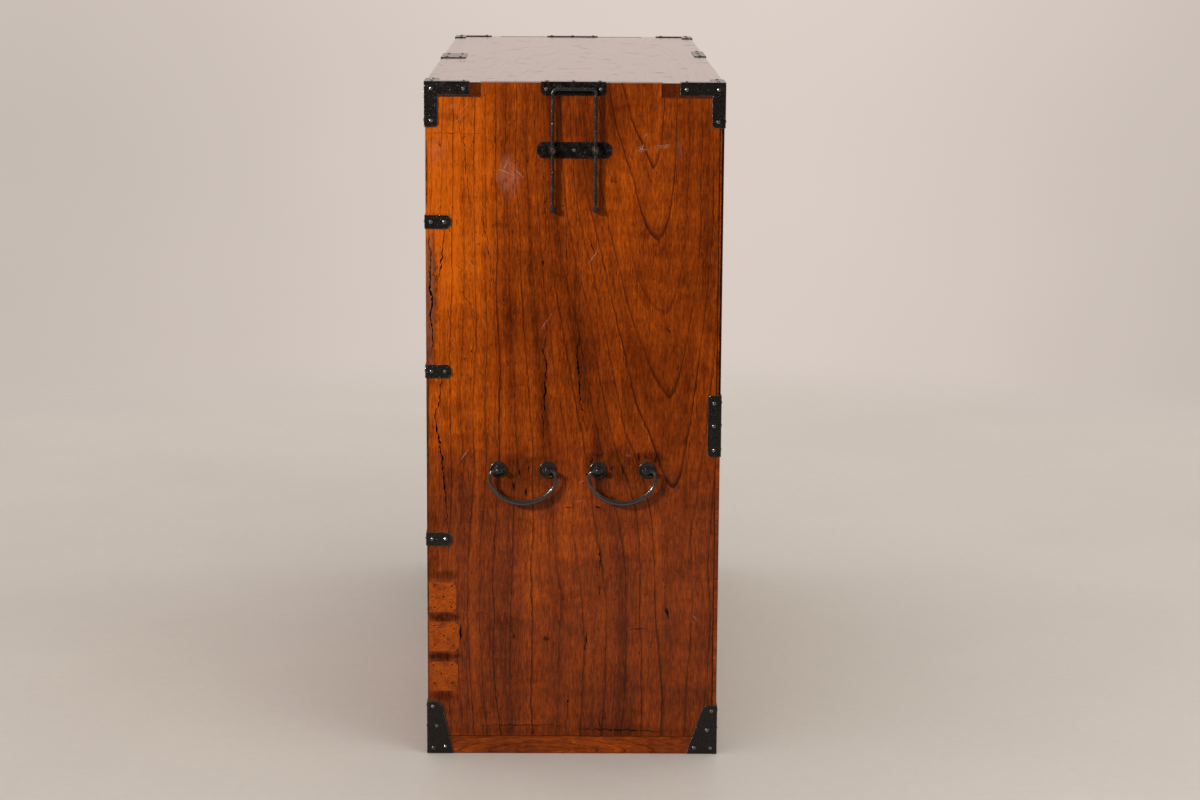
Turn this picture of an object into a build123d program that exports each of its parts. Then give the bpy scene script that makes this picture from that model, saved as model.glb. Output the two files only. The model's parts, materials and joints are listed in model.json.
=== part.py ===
"""Isho clothing chest: a solid-wood case with three full-width drawers over two bays of smaller drawers.

Millimetres, +Z up. The origin is on the floor in the middle of the case. The front looks to -Y, and the
right side, as seen from the front, looks to +X. Each sub-part is written to parts/NAME.step.
"""
from build123d import *
from math import atan2, cos, degrees, pi
import os

# ---- Case: overall sizes, board thicknesses and joinery ----------------------------------------------
CASE_LENGTH = 1175.0            # along X, over the side boards
CASE_DEPTH = 430.0              # along Y, over the back boards
CASE_HEIGHT = 1000.0            # floor to the top of the top board
SIDE_THICK = 24.0
TOP_THICK = 21.0
BOTTOM_THICK = 18.0
BACK_THICK = 6.0
BASE_RAIL_HEIGHT = 27.0         # the frame under the case, which stands on the floor
BASE_RAIL_WIDTH = 34.0
FRONT_FINGER = 80.0             # the top board's tongues that show on the side boards
BACK_FINGER = 90.0
HOUSING = 8.0                   # how deep boards are let into the side boards
BACK_BOARDS = 4                 # horizontal planks, one above the other

# ---- Rows of drawers, from the top down -------------------------------------------------------------
ROW_SHARES = (169.0, 197.0, 229.0, 273.0)   # heights of the four openings, in proportion
DIVIDER_HEIGHT = 22.0           # front rails between the rows
DIVIDER_RAIL_DEPTH = 40.0
DUST_BOARD_THICK = 12.0
PARTITION_THICK = 22.0          # upright between the two bays of the lowest row
PARTITION_HOUSING = 6.0
RIGHT_BAY_WIDTH = 380.0
BAY_DIVIDER_HEIGHT = 16.0       # between the two drawers of the left bay
BAY_DUST_BOARD_THICK = 9.0
SMALL_DRAWERS = 3
SMALL_SHELF_THICK = 9.0
DOOR_RECESS = 22.0              # the small drawers stand back, where the bay's lost door closed

# ---- Drawers ----------------------------------------------------------------------------------------
FRONT_RECESS = 2.0              # drawer fronts stand this far behind the case's front edges
FRONT_THICK = 20.0
FRONT_LAP = 8.0                 # wood left in front of the drawer sides
DRAWER_SIDE = 11.0
DRAWER_BOTTOM = 7.0
DRAWER_BACK_DROP = 8.0          # the drawer's back is lower than its sides
SIDE_GAP = 0.6
TOP_GAP = 1.2
REST_GAP = 0.3                  # under a drawer, and behind it where it meets the back boards
SMALL_FRONT_THICK = 15.0
SMALL_DRAWER_SIDE = 8.0
SMALL_DRAWER_BOTTOM = 5.0

# ---- Iron: sheet, nails and the plates on the case's edges ------------------------------------------
PLATE = 1.5                     # sheet thickness
CORNER_LEG = 64.0               # length of a top corner bracket's legs
CORNER_WIDTH = 18.0
CORNER_CLIP = 4.0
FOOT_PLATE_LIFT = 0.5           # bottom plates end just above the floor
FOOT_FRONT_HEIGHT = 81.0
FOOT_FRONT_WIDTH = 38.0
FOOT_BACK_HEIGHT = 75.5
FOOT_BACK_WIDTH = 44.0
FOOT_TOP_WIDTH = 15.0
FOOT_SHOULDER_DROP = 9.0        # from a bottom plate's top edge down to the end of its chamfer
FOOT_CHAMFER = 7.0
STRAP_HEIGHT = 20.0             # straps that tie the side boards to the front rails
STRAP_SIDE_REACH = 37.0
STRAP_FRONT_REACH = 46.0
STRAP_POINT = 5.5
BACK_PLATE_HEIGHT = 92.0
BACK_PLATE_BOTTOM = 454.0
BACK_PLATE_WIDTH = 18.5
TOP_STRAP_LENGTH = 105.0        # over the front edge of the top board
TOP_STRAP_REACH = 39.0
TOP_BACK_STRAP_LENGTH = 130.0   # over its back edge
TOP_BACK_STRAP_X = -72.0
NAIL_HEAD_R = 3.0
NAIL_HEAD_H = 1.6
NAIL_SHANK_R = 0.9
NAIL_LENGTH = 9.0
SMALL_NAIL_HEAD_R = 2.2
NAIL_HOLE_GAP = 0.05            # radial, round a shank in a punched plate
NAIL_FROM_END = 9.0             # a nail's middle from the end of a bracket's leg

# ---- Nails in the bottom plates: distance in from the case's corner, and height above the floor --------
FOOT_SIDE_FRONT_NAILS = ((7.5, 73.0), (13.0, 43.0), (8.0, 9.0), (26.0, 11.0))
FOOT_SIDE_BACK_NAILS = ((7.0, 66.5), (13.0, 37.0), (8.0, 9.0), (32.5, 9.5))
FOOT_FRONT_NAILS = ((8.0, 73.0), (12.0, 40.0), (28.0, 12.0))
FOOT_BACK_NAILS = ((8.0, 66.0), (13.0, 37.0), (30.0, 10.0))

# ---- Nails in the other plates: distance in from the edge, or along the plate from its middle ----------
STRAP_SIDE_NAILS = (7.8, 27.5)
STRAP_FRONT_NAILS = (9.0, 36.0)
BACK_PLATE_NAILS = (-36.0, 0.0, 34.0)
LOOP_TOP_NAILS = (-38.0, 0.0, 38.0)
LOOP_TOP_NAIL_INSET = 10.0
TOP_STRAP_NAILS = (-38.0, 38.0)
TOP_STRAP_NAIL_ROWS = (8.0, 30.0)
TOP_BACK_STRAP_NAILS = (-57.0, 0.0, 57.0)

# ---- Pole loops at the top of both sides ------------------------------------------------------------
LOOP_Y = -1.0                   # the loops' middle, from the middle of the case
LOOP_SPACING = 62.0             # between the legs' axes
LOOP_ROD_R = 2.5
LOOP_BEND = 7.0
LOOP_BAR_DROP = 9.0             # from the top of the case down to the bar's axis
LOOP_LENGTH = 173.0             # bar's axis to the middle of the knobs
LOOP_STANDOFF = 6.2             # rod's axis from the side board's face
KNOB_R = 4.2
KNOB_HEIGHT = 8.5
KNOB_CHAMFER = 1.4
LOOP_PLATE_LENGTH = 93.0
LOOP_PLATE_Y = -2.2
LOOP_PLATE_REACH = 18.0
KEEPER_LENGTH = 106.5
KEEPER_HEIGHT = 23.0
KEEPER_CLIP = 6.0
KEEPER_DROP = 96.3              # from the top of the case to the keeper's middle
EYE_WIDTH = 11.5
EYE_HEIGHT = 9.6
EYE_WALL = 2.2
RUNNING_GAP = 0.06              # radial clearance of a rod in its eye
SHOULDER_R = 3.6                # swelling of each leg that rests on its eye
SHOULDER_HEIGHT = 3.0

# ---- Swinging handles -------------------------------------------------------------------------------
PIN_R = 2.2                     # a bail's ends, where they turn in the posts
POST_R = 3.5
POST_CAP = 2.2                  # post beyond the pin's hole
POST_SHANK = 16.0
TIP_R = 3.0
TIP_LENGTH = 3.0
ROSETTE_R = 12.5
ROSETTE_THICK = 1.6
ROSETTE_RIM_R = 1.3
SIDE_BAIL_Z = 434.0             # height of the side handles' pivots
SIDE_BAIL_YS = (-74.1, 72.0)    # middles of the front and the back handle on each side
# post spacing, flare past the posts, drop, rod radius at the middle, pivot's distance from the face
SIDE_BAIL = dict(spacing=72.0, flare=12.5, drop=48.5, rod_r=4.1, standoff=8.4)
DRAWER_BAIL = dict(spacing=92.0, flare=12.5, drop=56.0, rod_r=4.0, standoff=8.4)
SMALL_BAIL = dict(spacing=48.0, flare=11.0, drop=34.0, rod_r=3.3, standoff=8.0)
BAIL_SECTIONS = 28
DRAWER_BAIL_X = 280.0           # handles of the wide drawers, from the drawer's middle
DRAWER_BAIL_RISE = 24.0         # pivots above the drawer front's middle
SMALL_BAIL_RISE = 2.0           # low enough for the bail to swing up under the rail above

# ---- Iron on the drawer fronts ----------------------------------------------------------------------
ANGLE_LEG = 42.0                # corner angles of the drawer fronts
ANGLE_WIDTH = 12.0
ANGLE_THICK = 1.2
ANGLE_NAIL_FROM_END = 6.0
LOCK_LOBE_R = 24.0              # four-lobed lock plate
LOCK_LOBE_OFFSET = 17.0
LOCK_RISE = 22.0
LOCK_PLATE_THICK = 1.5
LOCK_NAIL_FROM_RIM = 7.0
KEYHOLE_R = 3.5
KEYHOLE_SLOT = 4.0
KEYHOLE_LENGTH = 12.0
KEYHOLE_DEPTH = 12.0
LOCK_CASE = (58.0, 12.0, 44.0)  # iron lock case behind the drawer front

# ---- Places worked out from the sizes above ---------------------------------------------------------
half_length = CASE_LENGTH / 2
half_depth = CASE_DEPTH / 2
inner_half = half_length - SIDE_THICK
back_face = half_depth - BACK_THICK
floor_top = BASE_RAIL_HEIGHT + BOTTOM_THICK
ceiling = CASE_HEIGHT - TOP_THICK
housed_half = inner_half + HOUSING
partition_right = inner_half - RIGHT_BAY_WIDTH
partition_left = partition_right - PARTITION_THICK
loop_leg_ys = (LOOP_Y - LOOP_SPACING / 2, LOOP_Y + LOOP_SPACING / 2)

RIGHT = Plane(origin=(half_length, 0, 0), x_dir=(0, 1, 0), z_dir=(1, 0, 0))    # outline is (y, z)
FRONT = Plane(origin=(0, -half_depth, 0), x_dir=(1, 0, 0), z_dir=(0, -1, 0))   # outline is (x, z)
BACK = Plane(origin=(0, half_depth, 0), x_dir=(-1, 0, 0), z_dir=(0, 1, 0))     # outline is (-x, z)
TOP = Plane(origin=(0, 0, CASE_HEIGHT), x_dir=(1, 0, 0), z_dir=(0, 0, 1))      # outline is (x, y)

ON_BASE = (Align.CENTER, Align.CENTER, Align.MIN)

nodes = {}


def rows():
    """Low and high edge of each opening, from the top row down."""
    clear = ceiling - floor_top - DIVIDER_HEIGHT * (len(ROW_SHARES) - 1)
    low_high = []
    high = ceiling
    for share in ROW_SHARES:
        low = high - clear * share / sum(ROW_SHARES)
        low_high.append((low, high))
        high = low - DIVIDER_HEIGHT
    return low_high


# ---- Shapes used by many pieces ---------------------------------------------------------------------
def block(x0, x1, y0, y1, z0, z1):
    return Pos(x0, y0, z0) * Box(x1 - x0, y1 - y0, z1 - z0, align=(Align.MIN,) * 3)


def on_face(face, u=0.0, v=0.0, out=0.0):
    """A place on a face of the case: u to the right and v up, seen from outside, and out from the face."""
    return face.location * Pos(u, v, out)


def leaf(face, outline, thickness=PLATE):
    """A sheet-iron leaf that lies on a face."""
    return face.location * extrude(make_face(Polyline(*outline, close=True)), thickness)


def joined(*pieces):
    """One solid from leaves that meet along the case's edges."""
    whole = pieces[0]
    for piece in pieces[1:]:
        whole = whole + piece
    return whole


def clipped_box(u0, u1, v0, v1, clip_left=0.0, clip_right=0.0):
    """A rectangle whose corners at its left or right end are cut off."""
    right_end = [(u1, v0 + clip_right), (u1, v1 - clip_right)]
    left_end = [(u0, v1 - clip_left), (u0, v0 + clip_left)]
    if clip_right:
        right_end = [(u1 - clip_right, v0)] + right_end + [(u1 - clip_right, v1)]
    if clip_left:
        left_end = [(u0 + clip_left, v1)] + left_end + [(u0 + clip_left, v0)]
    return right_end + left_end


def nail_shape(head_r, head_h, length):
    """A forged nail along Z: its domed head stands on z = 0 and its shank goes down from there."""
    dome_r = (head_r ** 2 + head_h ** 2) / (2 * head_h)
    rim = degrees(atan2(dome_r - head_h, head_r))
    outline = Polyline((0, head_h), (0, -length), (NAIL_SHANK_R, 1.5 - length), (NAIL_SHANK_R, 0),
                       (head_r, 0))
    outline += CenterArc((0, head_h - dome_r), dome_r, rim, 90 - rim)
    return revolve(Plane.XZ * make_face(outline), Axis.Z, 360)


BIG_NAIL = nail_shape(NAIL_HEAD_R, NAIL_HEAD_H, NAIL_LENGTH)
SMALL_NAIL = nail_shape(SMALL_NAIL_HEAD_R, NAIL_HEAD_H, NAIL_LENGTH)


def nails(face, places, out=PLATE, shape=BIG_NAIL):
    return [on_face(face, u, v, out) * shape for u, v in places]


def punched(plate, face, places):
    """A plate with its nail holes."""
    for u, v in places:
        plate = plate - on_face(face, u, v) * Cylinder(NAIL_SHANK_R + NAIL_HOLE_GAP, 4 * PLATE)
    return plate


def mirrored(pieces):
    return [piece.mirror(Plane.YZ) for piece in pieces]


# ---- Wooden case ------------------------------------------------------------------------------------
def divider(x0, x1, top, height, dust_thick):
    """A front rail with a dust board behind it, flush on top, where the drawer above slides."""
    rail_back = -half_depth + DIVIDER_RAIL_DEPTH
    return [
        block(x0, x1, -half_depth, rail_back, top - height, top),
        block(x0, x1, rail_back, back_face, top - dust_thick, top),
    ]


def make_case():
    openings = rows()
    dividers = [divider(-housed_half, housed_half, low, DIVIDER_HEIGHT, DUST_BOARD_THICK)
                for low, high in openings[:-1]]
    low, high = openings[-1]

    bottom = block(-housed_half, housed_half, -half_depth, back_face, BASE_RAIL_HEIGHT, floor_top)

    bay_top = (low + high + BAY_DIVIDER_HEIGHT) / 2
    bay_divider = divider(-housed_half, partition_left + PARTITION_HOUSING, bay_top,
                          BAY_DIVIDER_HEIGHT, BAY_DUST_BOARD_THICK)

    shelf_front = DOOR_RECESS - half_depth
    shelves = [block(partition_right - PARTITION_HOUSING, housed_half, shelf_front, back_face,
                     z0 - SMALL_SHELF_THICK, z0) for z0, z1 in small_openings()[:-1]]

    rail_back = -half_depth + DIVIDER_RAIL_DEPTH
    dust_underside = high + DIVIDER_HEIGHT - DUST_BOARD_THICK
    partition = (block(partition_left, partition_right, -half_depth, rail_back, floor_top, high)
                 + block(partition_left, partition_right, rail_back, back_face, floor_top, dust_underside))
    for board in bay_divider + shelves:
        partition = partition - board

    side = block(inner_half, half_length, -half_depth, back_face, BASE_RAIL_HEIGHT, CASE_HEIGHT)
    side = side - block(inner_half, half_length, -half_depth, -half_depth + FRONT_FINGER,
                        ceiling, CASE_HEIGHT)
    side = side - block(inner_half, half_length, half_depth - BACK_FINGER, half_depth,
                        ceiling, CASE_HEIGHT)
    for board in sum(dividers, [bottom]):
        side = side - board
    right_side = side
    for board in shelves:
        right_side = right_side - board
    left_side = side.mirror(Plane.YZ)
    for board in bay_divider:
        left_side = left_side - board

    top = block(-inner_half, inner_half, -half_depth, half_depth, ceiling, CASE_HEIGHT)
    for y0, y1 in ((-half_depth, -half_depth + FRONT_FINGER), (half_depth - BACK_FINGER, half_depth)):
        top = top + block(-half_length, half_length, y0, y1, ceiling, CASE_HEIGHT)

    plank = (ceiling - BASE_RAIL_HEIGHT) / BACK_BOARDS
    back = [block(-half_length, half_length, back_face, half_depth,
                  BASE_RAIL_HEIGHT + i * plank, BASE_RAIL_HEIGHT + (i + 1) * plank)
            for i in range(BACK_BOARDS)]

    rail = block(half_length - BASE_RAIL_WIDTH, half_length, -half_depth, half_depth, 0, BASE_RAIL_HEIGHT)
    between_rails = half_length - BASE_RAIL_WIDTH
    cross = [block(-between_rails, between_rails, y0, y0 + BASE_RAIL_WIDTH, 0, BASE_RAIL_HEIGHT)
             for y0 in (-half_depth, half_depth - BASE_RAIL_WIDTH)]

    nodes["top_board"] = [top]
    nodes["right_side_board"] = [right_side]
    nodes["left_side_board"] = [left_side]
    nodes["bottom_board"] = [bottom]
    nodes["back_boards"] = back
    nodes["upper_divider"], nodes["middle_divider"], nodes["lower_divider"] = dividers
    nodes["bay_partition"] = [partition]
    nodes["left_bay_divider"] = bay_divider
    nodes["right_bay_shelves"] = shelves
    nodes["right_base_rail"] = [rail]
    nodes["left_base_rail"] = mirrored([rail])
    nodes["cross_base_rails"] = cross


def small_openings():
    """Low and high edge of each opening of the right bay, from the top down."""
    low, high = rows()[-1]
    pitch = (high - low + SMALL_SHELF_THICK) / SMALL_DRAWERS
    return [(high - (i + 1) * pitch + SMALL_SHELF_THICK, high - i * pitch) for i in range(SMALL_DRAWERS)]


# ---- Iron plates on the case's edges ----------------------------------------------------------------
def top_corner(front):
    """Bracket over a top corner of the right side: two legs along each of the three edges it covers."""
    edge = -half_depth if front else half_depth
    inward = 1 if front else -1
    outer = edge - inward * PLATE

    def legs(a, b, far_a, far_b, step_a, step_b):
        """An L outline: its outer corner is (a, b), and its legs run to far_a and far_b."""
        inner_a = a + step_a * (CORNER_WIDTH + PLATE)
        inner_b = b + step_b * (CORNER_WIDTH + PLATE)
        return [(a, b), (far_a, b), (far_a, inner_b), (inner_a, inner_b),
                (inner_a, far_b - step_b * CORNER_CLIP), (inner_a - step_a * CORNER_CLIP, far_b), (a, far_b)]

    x_out = half_length + PLATE
    z_out = CASE_HEIGHT + PLATE
    far_x = half_length - CORNER_LEG
    far_y = edge + inward * CORNER_LEG
    far_z = CASE_HEIGHT - CORNER_LEG
    on_side = leaf(RIGHT, legs(outer, z_out, far_y, far_z, inward, -1))
    on_top = leaf(TOP, legs(x_out, outer, far_x, far_y, -1, inward))
    if front:
        on_end = leaf(FRONT, legs(x_out, z_out, far_x, far_z, -1, -1))
    else:
        on_end = leaf(BACK, legs(-x_out, z_out, -far_x, far_z, 1, -1))
    return joined(on_side, on_top, on_end)


def foot_plate(front):
    """Plate round a bottom corner of the right side, wide at the floor and narrow at its top."""
    edge = -half_depth if front else half_depth
    inward = 1 if front else -1
    height = FOOT_FRONT_HEIGHT if front else FOOT_BACK_HEIGHT
    width = FOOT_FRONT_WIDTH if front else FOOT_BACK_WIDTH
    shoulder = height - FOOT_SHOULDER_DROP
    low = FOOT_PLATE_LIFT

    def tapered(outer, step, at_edge):
        return [(outer, low), (at_edge + step * width, low),
                (at_edge + step * (FOOT_TOP_WIDTH + FOOT_CHAMFER), shoulder),
                (at_edge + step * FOOT_TOP_WIDTH, height), (outer, height)]

    on_side = leaf(RIGHT, tapered(edge - inward * PLATE, inward, edge))
    x_out = half_length + PLATE
    if not front:
        return joined(on_side, leaf(BACK, tapered(-x_out, 1, -half_length)))
    narrow = FOOT_TOP_WIDTH + FOOT_CHAMFER
    on_front = leaf(FRONT, [
        (x_out, low), (half_length - width, low), (half_length - width, floor_top - CORNER_CLIP),
        (half_length - narrow, floor_top), (half_length - narrow, shoulder),
        (half_length - FOOT_TOP_WIDTH, height), (x_out, height)])
    return joined(on_side, on_front)


def front_strap(middle_z):
    """Strap that wraps from the side board onto a front rail."""
    z0 = middle_z - STRAP_HEIGHT / 2
    z1 = middle_z + STRAP_HEIGHT / 2
    on_side = leaf(RIGHT, clipped_box(-half_depth - PLATE, -half_depth + STRAP_SIDE_REACH, z0, z1,
                                      clip_right=STRAP_POINT))
    on_front = leaf(FRONT, clipped_box(half_length - STRAP_FRONT_REACH, half_length + PLATE, z0, z1,
                                       clip_left=STRAP_POINT))
    return joined(on_side, on_front)


def back_plate():
    """Plate over the back edge of the side board, with a leaf on the back boards."""
    z0 = BACK_PLATE_BOTTOM
    z1 = z0 + BACK_PLATE_HEIGHT
    on_side = leaf(RIGHT, clipped_box(half_depth - BACK_PLATE_WIDTH, half_depth + PLATE, z0, z1,
                                      clip_left=CORNER_CLIP))
    on_back = leaf(BACK, clipped_box(-half_length - PLATE, BACK_PLATE_WIDTH - half_length, z0, z1,
                                     clip_right=CORNER_CLIP))
    return joined(on_side, on_back)


def top_straps():
    """Straps over the top board's front and back edges."""
    half = TOP_STRAP_LENGTH / 2
    reach_z = CASE_HEIGHT - CORNER_WIDTH
    z_out = CASE_HEIGHT + PLATE
    inner = TOP_STRAP_REACH - half_depth
    front = joined(
        leaf(TOP, [(-half, -half_depth - PLATE), (half, -half_depth - PLATE), (half, inner - CORNER_CLIP),
                   (half - CORNER_CLIP, inner), (CORNER_CLIP - half, inner), (-half, inner - CORNER_CLIP)]),
        leaf(FRONT, [(-half, reach_z), (half, reach_z), (half, z_out), (-half, z_out)]))
    x0 = TOP_BACK_STRAP_X - TOP_BACK_STRAP_LENGTH / 2
    x1 = TOP_BACK_STRAP_X + TOP_BACK_STRAP_LENGTH / 2
    inner = half_depth - CORNER_WIDTH
    back = joined(
        leaf(TOP, [(x0, half_depth + PLATE), (x0, inner + CORNER_CLIP), (x0 + CORNER_CLIP, inner),
                   (x1 - CORNER_CLIP, inner), (x1, inner + CORNER_CLIP), (x1, half_depth + PLATE)]),
        leaf(BACK, [(-x0, reach_z), (-x1, reach_z), (-x1, z_out), (-x0, z_out)]))
    return [front, back]


def make_case_iron():
    strap_middles = [low - DIVIDER_HEIGHT / 2 for low, high in rows()[:-1]]
    corners = [top_corner(True), top_corner(False)]
    feet = [foot_plate(True), foot_plate(False)]
    straps = [front_strap(z) for z in strap_middles]
    side_plates = [back_plate()]
    nodes["top_corner_brackets"] = corners + mirrored(corners)
    nodes["bottom_corner_plates"] = feet + mirrored(feet)
    nodes["front_edge_straps"] = straps + mirrored(straps)
    nodes["mid_edge_straps"] = side_plates + mirrored(side_plates) + top_straps()

    inset = CORNER_WIDTH / 2
    tip = CORNER_LEG - NAIL_FROM_END
    both_sides = []
    ends = ((-half_depth, 1, FRONT, half_length, -1, FOOT_SIDE_FRONT_NAILS, FOOT_FRONT_NAILS),
            (half_depth, -1, BACK, -half_length, 1, FOOT_SIDE_BACK_NAILS, FOOT_BACK_NAILS))
    for edge, inward, end_face, end, into, foot_side_nails, foot_end_nails in ends:
        both_sides += nails(RIGHT, [(edge + inward * inset, CASE_HEIGHT - inset),
                                    (edge + inward * tip, CASE_HEIGHT - inset),
                                    (edge + inward * inset, CASE_HEIGHT - tip)])
        both_sides += nails(TOP, [(half_length - inset, edge + inward * tip),
                                  (half_length - tip, edge + inward * inset),
                                  (half_length - inset, edge + inward * inset)])
        both_sides += nails(end_face, [(end + into * tip, CASE_HEIGHT - inset),
                                       (end + into * inset, CASE_HEIGHT - tip)])
        both_sides += nails(RIGHT, [(edge + inward * u, z) for u, z in foot_side_nails])
        both_sides += nails(end_face, [(end + into * u, z) for u, z in foot_end_nails])
    for z in strap_middles:
        both_sides += nails(RIGHT, [(u - half_depth, z) for u in STRAP_SIDE_NAILS])
        both_sides += nails(FRONT, [(half_length - u, z) for u in STRAP_FRONT_NAILS])
    plate_middle = BACK_PLATE_BOTTOM + BACK_PLATE_HEIGHT / 2
    for rise in BACK_PLATE_NAILS:
        both_sides += nails(RIGHT, [(half_depth - inset, plate_middle + rise)])
        both_sides += nails(BACK, [(inset - half_length, plate_middle + rise)])
    loop_nail = LOOP_PLATE_LENGTH / 2 - CORNER_WIDTH * 0.4
    both_sides += nails(RIGHT, [(LOOP_PLATE_Y - loop_nail, CASE_HEIGHT - LOOP_PLATE_REACH / 2),
                                (LOOP_PLATE_Y + loop_nail, CASE_HEIGHT - LOOP_PLATE_REACH / 2),
                                (LOOP_Y, CASE_HEIGHT - KEEPER_DROP)])
    both_sides += nails(TOP, [(half_length - LOOP_TOP_NAIL_INSET, LOOP_PLATE_Y + dy)
                              for dy in LOOP_TOP_NAILS])

    middle = nails(TOP, [(dx, dy - half_depth) for dx in TOP_STRAP_NAILS for dy in TOP_STRAP_NAIL_ROWS])
    middle += nails(FRONT, [(dx, CASE_HEIGHT - inset) for dx in TOP_STRAP_NAILS])
    middle += nails(TOP, [(TOP_BACK_STRAP_X + dx, half_depth - inset) for dx in TOP_BACK_STRAP_NAILS])
    middle += nails(BACK, [(dx - TOP_BACK_STRAP_X, CASE_HEIGHT - inset) for dx in TOP_STRAP_NAILS])
    nodes["case_nails"] = both_sides + mirrored(both_sides) + middle


# ---- Pole loops -------------------------------------------------------------------------------------
def loop_plates():
    """The plate that the loop's bar rests against, the keeper, and the two eyes on the keeper."""
    y0 = LOOP_PLATE_Y - LOOP_PLATE_LENGTH / 2
    y1 = LOOP_PLATE_Y + LOOP_PLATE_LENGTH / 2
    z0 = CASE_HEIGHT - LOOP_PLATE_REACH
    z_out = CASE_HEIGHT + PLATE
    edge_plate = joined(
        leaf(RIGHT, [(y0 + CORNER_CLIP, z0), (y1 - CORNER_CLIP, z0), (y1, z0 + CORNER_CLIP),
                     (y1, z_out), (y0, z_out), (y0, z0 + CORNER_CLIP)]),
        leaf(TOP, [(half_length + PLATE, y0), (half_length + PLATE, y1),
                   (half_length - LOOP_PLATE_REACH, y1), (half_length - LOOP_PLATE_REACH, y0)]))
    keeper_z = CASE_HEIGHT - KEEPER_DROP
    keeper = leaf(RIGHT, clipped_box(LOOP_Y - KEEPER_LENGTH / 2, LOOP_Y + KEEPER_LENGTH / 2,
                                     keeper_z - KEEPER_HEIGHT / 2, keeper_z + KEEPER_HEIGHT / 2,
                                     clip_left=KEEPER_CLIP, clip_right=KEEPER_CLIP))
    eyes = [eye(y, keeper_z - EYE_HEIGHT / 2) for y in loop_leg_ys]
    return [edge_plate, keeper] + eyes


def eye(y, low):
    """A lug on the keeper, rounded in front and bored for a leg of the loop."""
    seat = half_length + PLATE
    x = half_length + LOOP_STANDOFF
    outside_r = LOOP_ROD_R + RUNNING_GAP + EYE_WALL
    nose = Pos(x, y, low) * Cylinder(outside_r, EYE_HEIGHT, align=ON_BASE)
    cheeks = block(seat, x, y - outside_r, y + outside_r, low, low + EYE_HEIGHT)
    foot = block(seat, seat + PLATE, y - EYE_WIDTH / 2, y + EYE_WIDTH / 2, low, low + EYE_HEIGHT)
    bore = Pos(x, y, low) * Cylinder(LOOP_ROD_R + RUNNING_GAP, 3 * EYE_HEIGHT)
    return (nose + cheeks + foot) - bore - block(half_length, seat, y - EYE_WIDTH, y + EYE_WIDTH,
                                                 low, low + EYE_HEIGHT)


def pole_loop():
    """Iron rod bent to a U that slides up through the eyes, so that a carrying pole goes under its bar."""
    x = half_length + LOOP_STANDOFF
    bar_z = CASE_HEIGHT - LOOP_BAR_DROP
    foot_z = bar_z - LOOP_LENGTH
    y0, y1 = loop_leg_ys
    side_view = Plane(origin=(x, 0, 0), x_dir=(0, 1, 0), z_dir=(1, 0, 0))
    path = side_view.location * Wire([
        Line((y0, foot_z), (y0, bar_z - LOOP_BEND)),
        CenterArc((y0 + LOOP_BEND, bar_z - LOOP_BEND), LOOP_BEND, 180, -90),
        Line((y0 + LOOP_BEND, bar_z), (y1 - LOOP_BEND, bar_z)),
        CenterArc((y1 - LOOP_BEND, bar_z - LOOP_BEND), LOOP_BEND, 90, -90),
        Line((y1, bar_z - LOOP_BEND), (y1, foot_z)),
    ])
    rod = sweep(Plane(origin=path @ 0, z_dir=path % 0) * Circle(LOOP_ROD_R), path)
    eye_top = CASE_HEIGHT - KEEPER_DROP + EYE_HEIGHT / 2
    for y in loop_leg_ys:
        knob = Pos(x, y, foot_z) * Cylinder(KNOB_R, KNOB_HEIGHT)
        rod = rod + chamfer(knob.edges().filter_by(GeomType.CIRCLE), KNOB_CHAMFER)
        shoulder = Pos(x, y, eye_top + REST_GAP) * Cylinder(
            SHOULDER_R, SHOULDER_HEIGHT, align=ON_BASE)
        rod = rod + shoulder
    return rod


# ---- Swinging handles -------------------------------------------------------------------------------
def bail(spacing, flare, drop, rod_r, standoff):
    """A bail that hangs in the plane z = standoff of a face: its pins lie on y = 0, and it hangs below.

    Each end turns in from outside its post, so the rod runs out past the posts and curls down into a
    wide bow, thin at the pins and thick in the middle.
    """
    pin_end = spacing / 2 + POST_R + 0.5
    wide = spacing / 2 + flare
    curl_r = wide - pin_end
    bow_top = -curl_r - 0.08 * drop
    side_r = 0.52 * wide
    across = wide - side_r
    above = bow_top + drop
    base_r = (across ** 2 + above ** 2 - side_r ** 2) / (2 * (above - side_r))
    turn = degrees(atan2(above - base_r, across))
    right_half = [
        CenterArc((0, base_r - drop), base_r, -90, turn + 90),
        CenterArc((across, bow_top), side_r, turn, -turn),
        Line((wide, bow_top), (wide, -curl_r)),
        CenterArc((pin_end, -curl_r), curl_r, 0, 90),
    ]
    half_path = Wire(right_half)
    sections = []
    for i in range(BAIL_SECTIONS + 1):
        share = i / BAIL_SECTIONS
        swell = 0.5 + 0.5 * cos(pi * share)
        radius = PIN_R + (rod_r - PIN_R) * swell
        place = half_path @ share
        heading = half_path % share
        sections.append(Plane(origin=place, x_dir=(0, 0, 1), z_dir=heading) * Circle(radius))
    bow = loft(sections)
    tip_end = spacing / 2 - POST_R - 0.5
    pin = Pos(pin_end, 0, 0) * Rot(0, -90, 0) * Cylinder(
        PIN_R, pin_end - tip_end + 1.0, align=ON_BASE)
    tip = Pos(tip_end, 0, 0) * Rot(0, -90, 0) * Cylinder(
        TIP_R, TIP_LENGTH, align=ON_BASE)
    half = bow + pin + chamfer(tip.edges().filter_by(GeomType.CIRCLE), 0.8)
    return Pos(0, 0, standoff) * (half + half.mirror(Plane.YZ))


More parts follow.
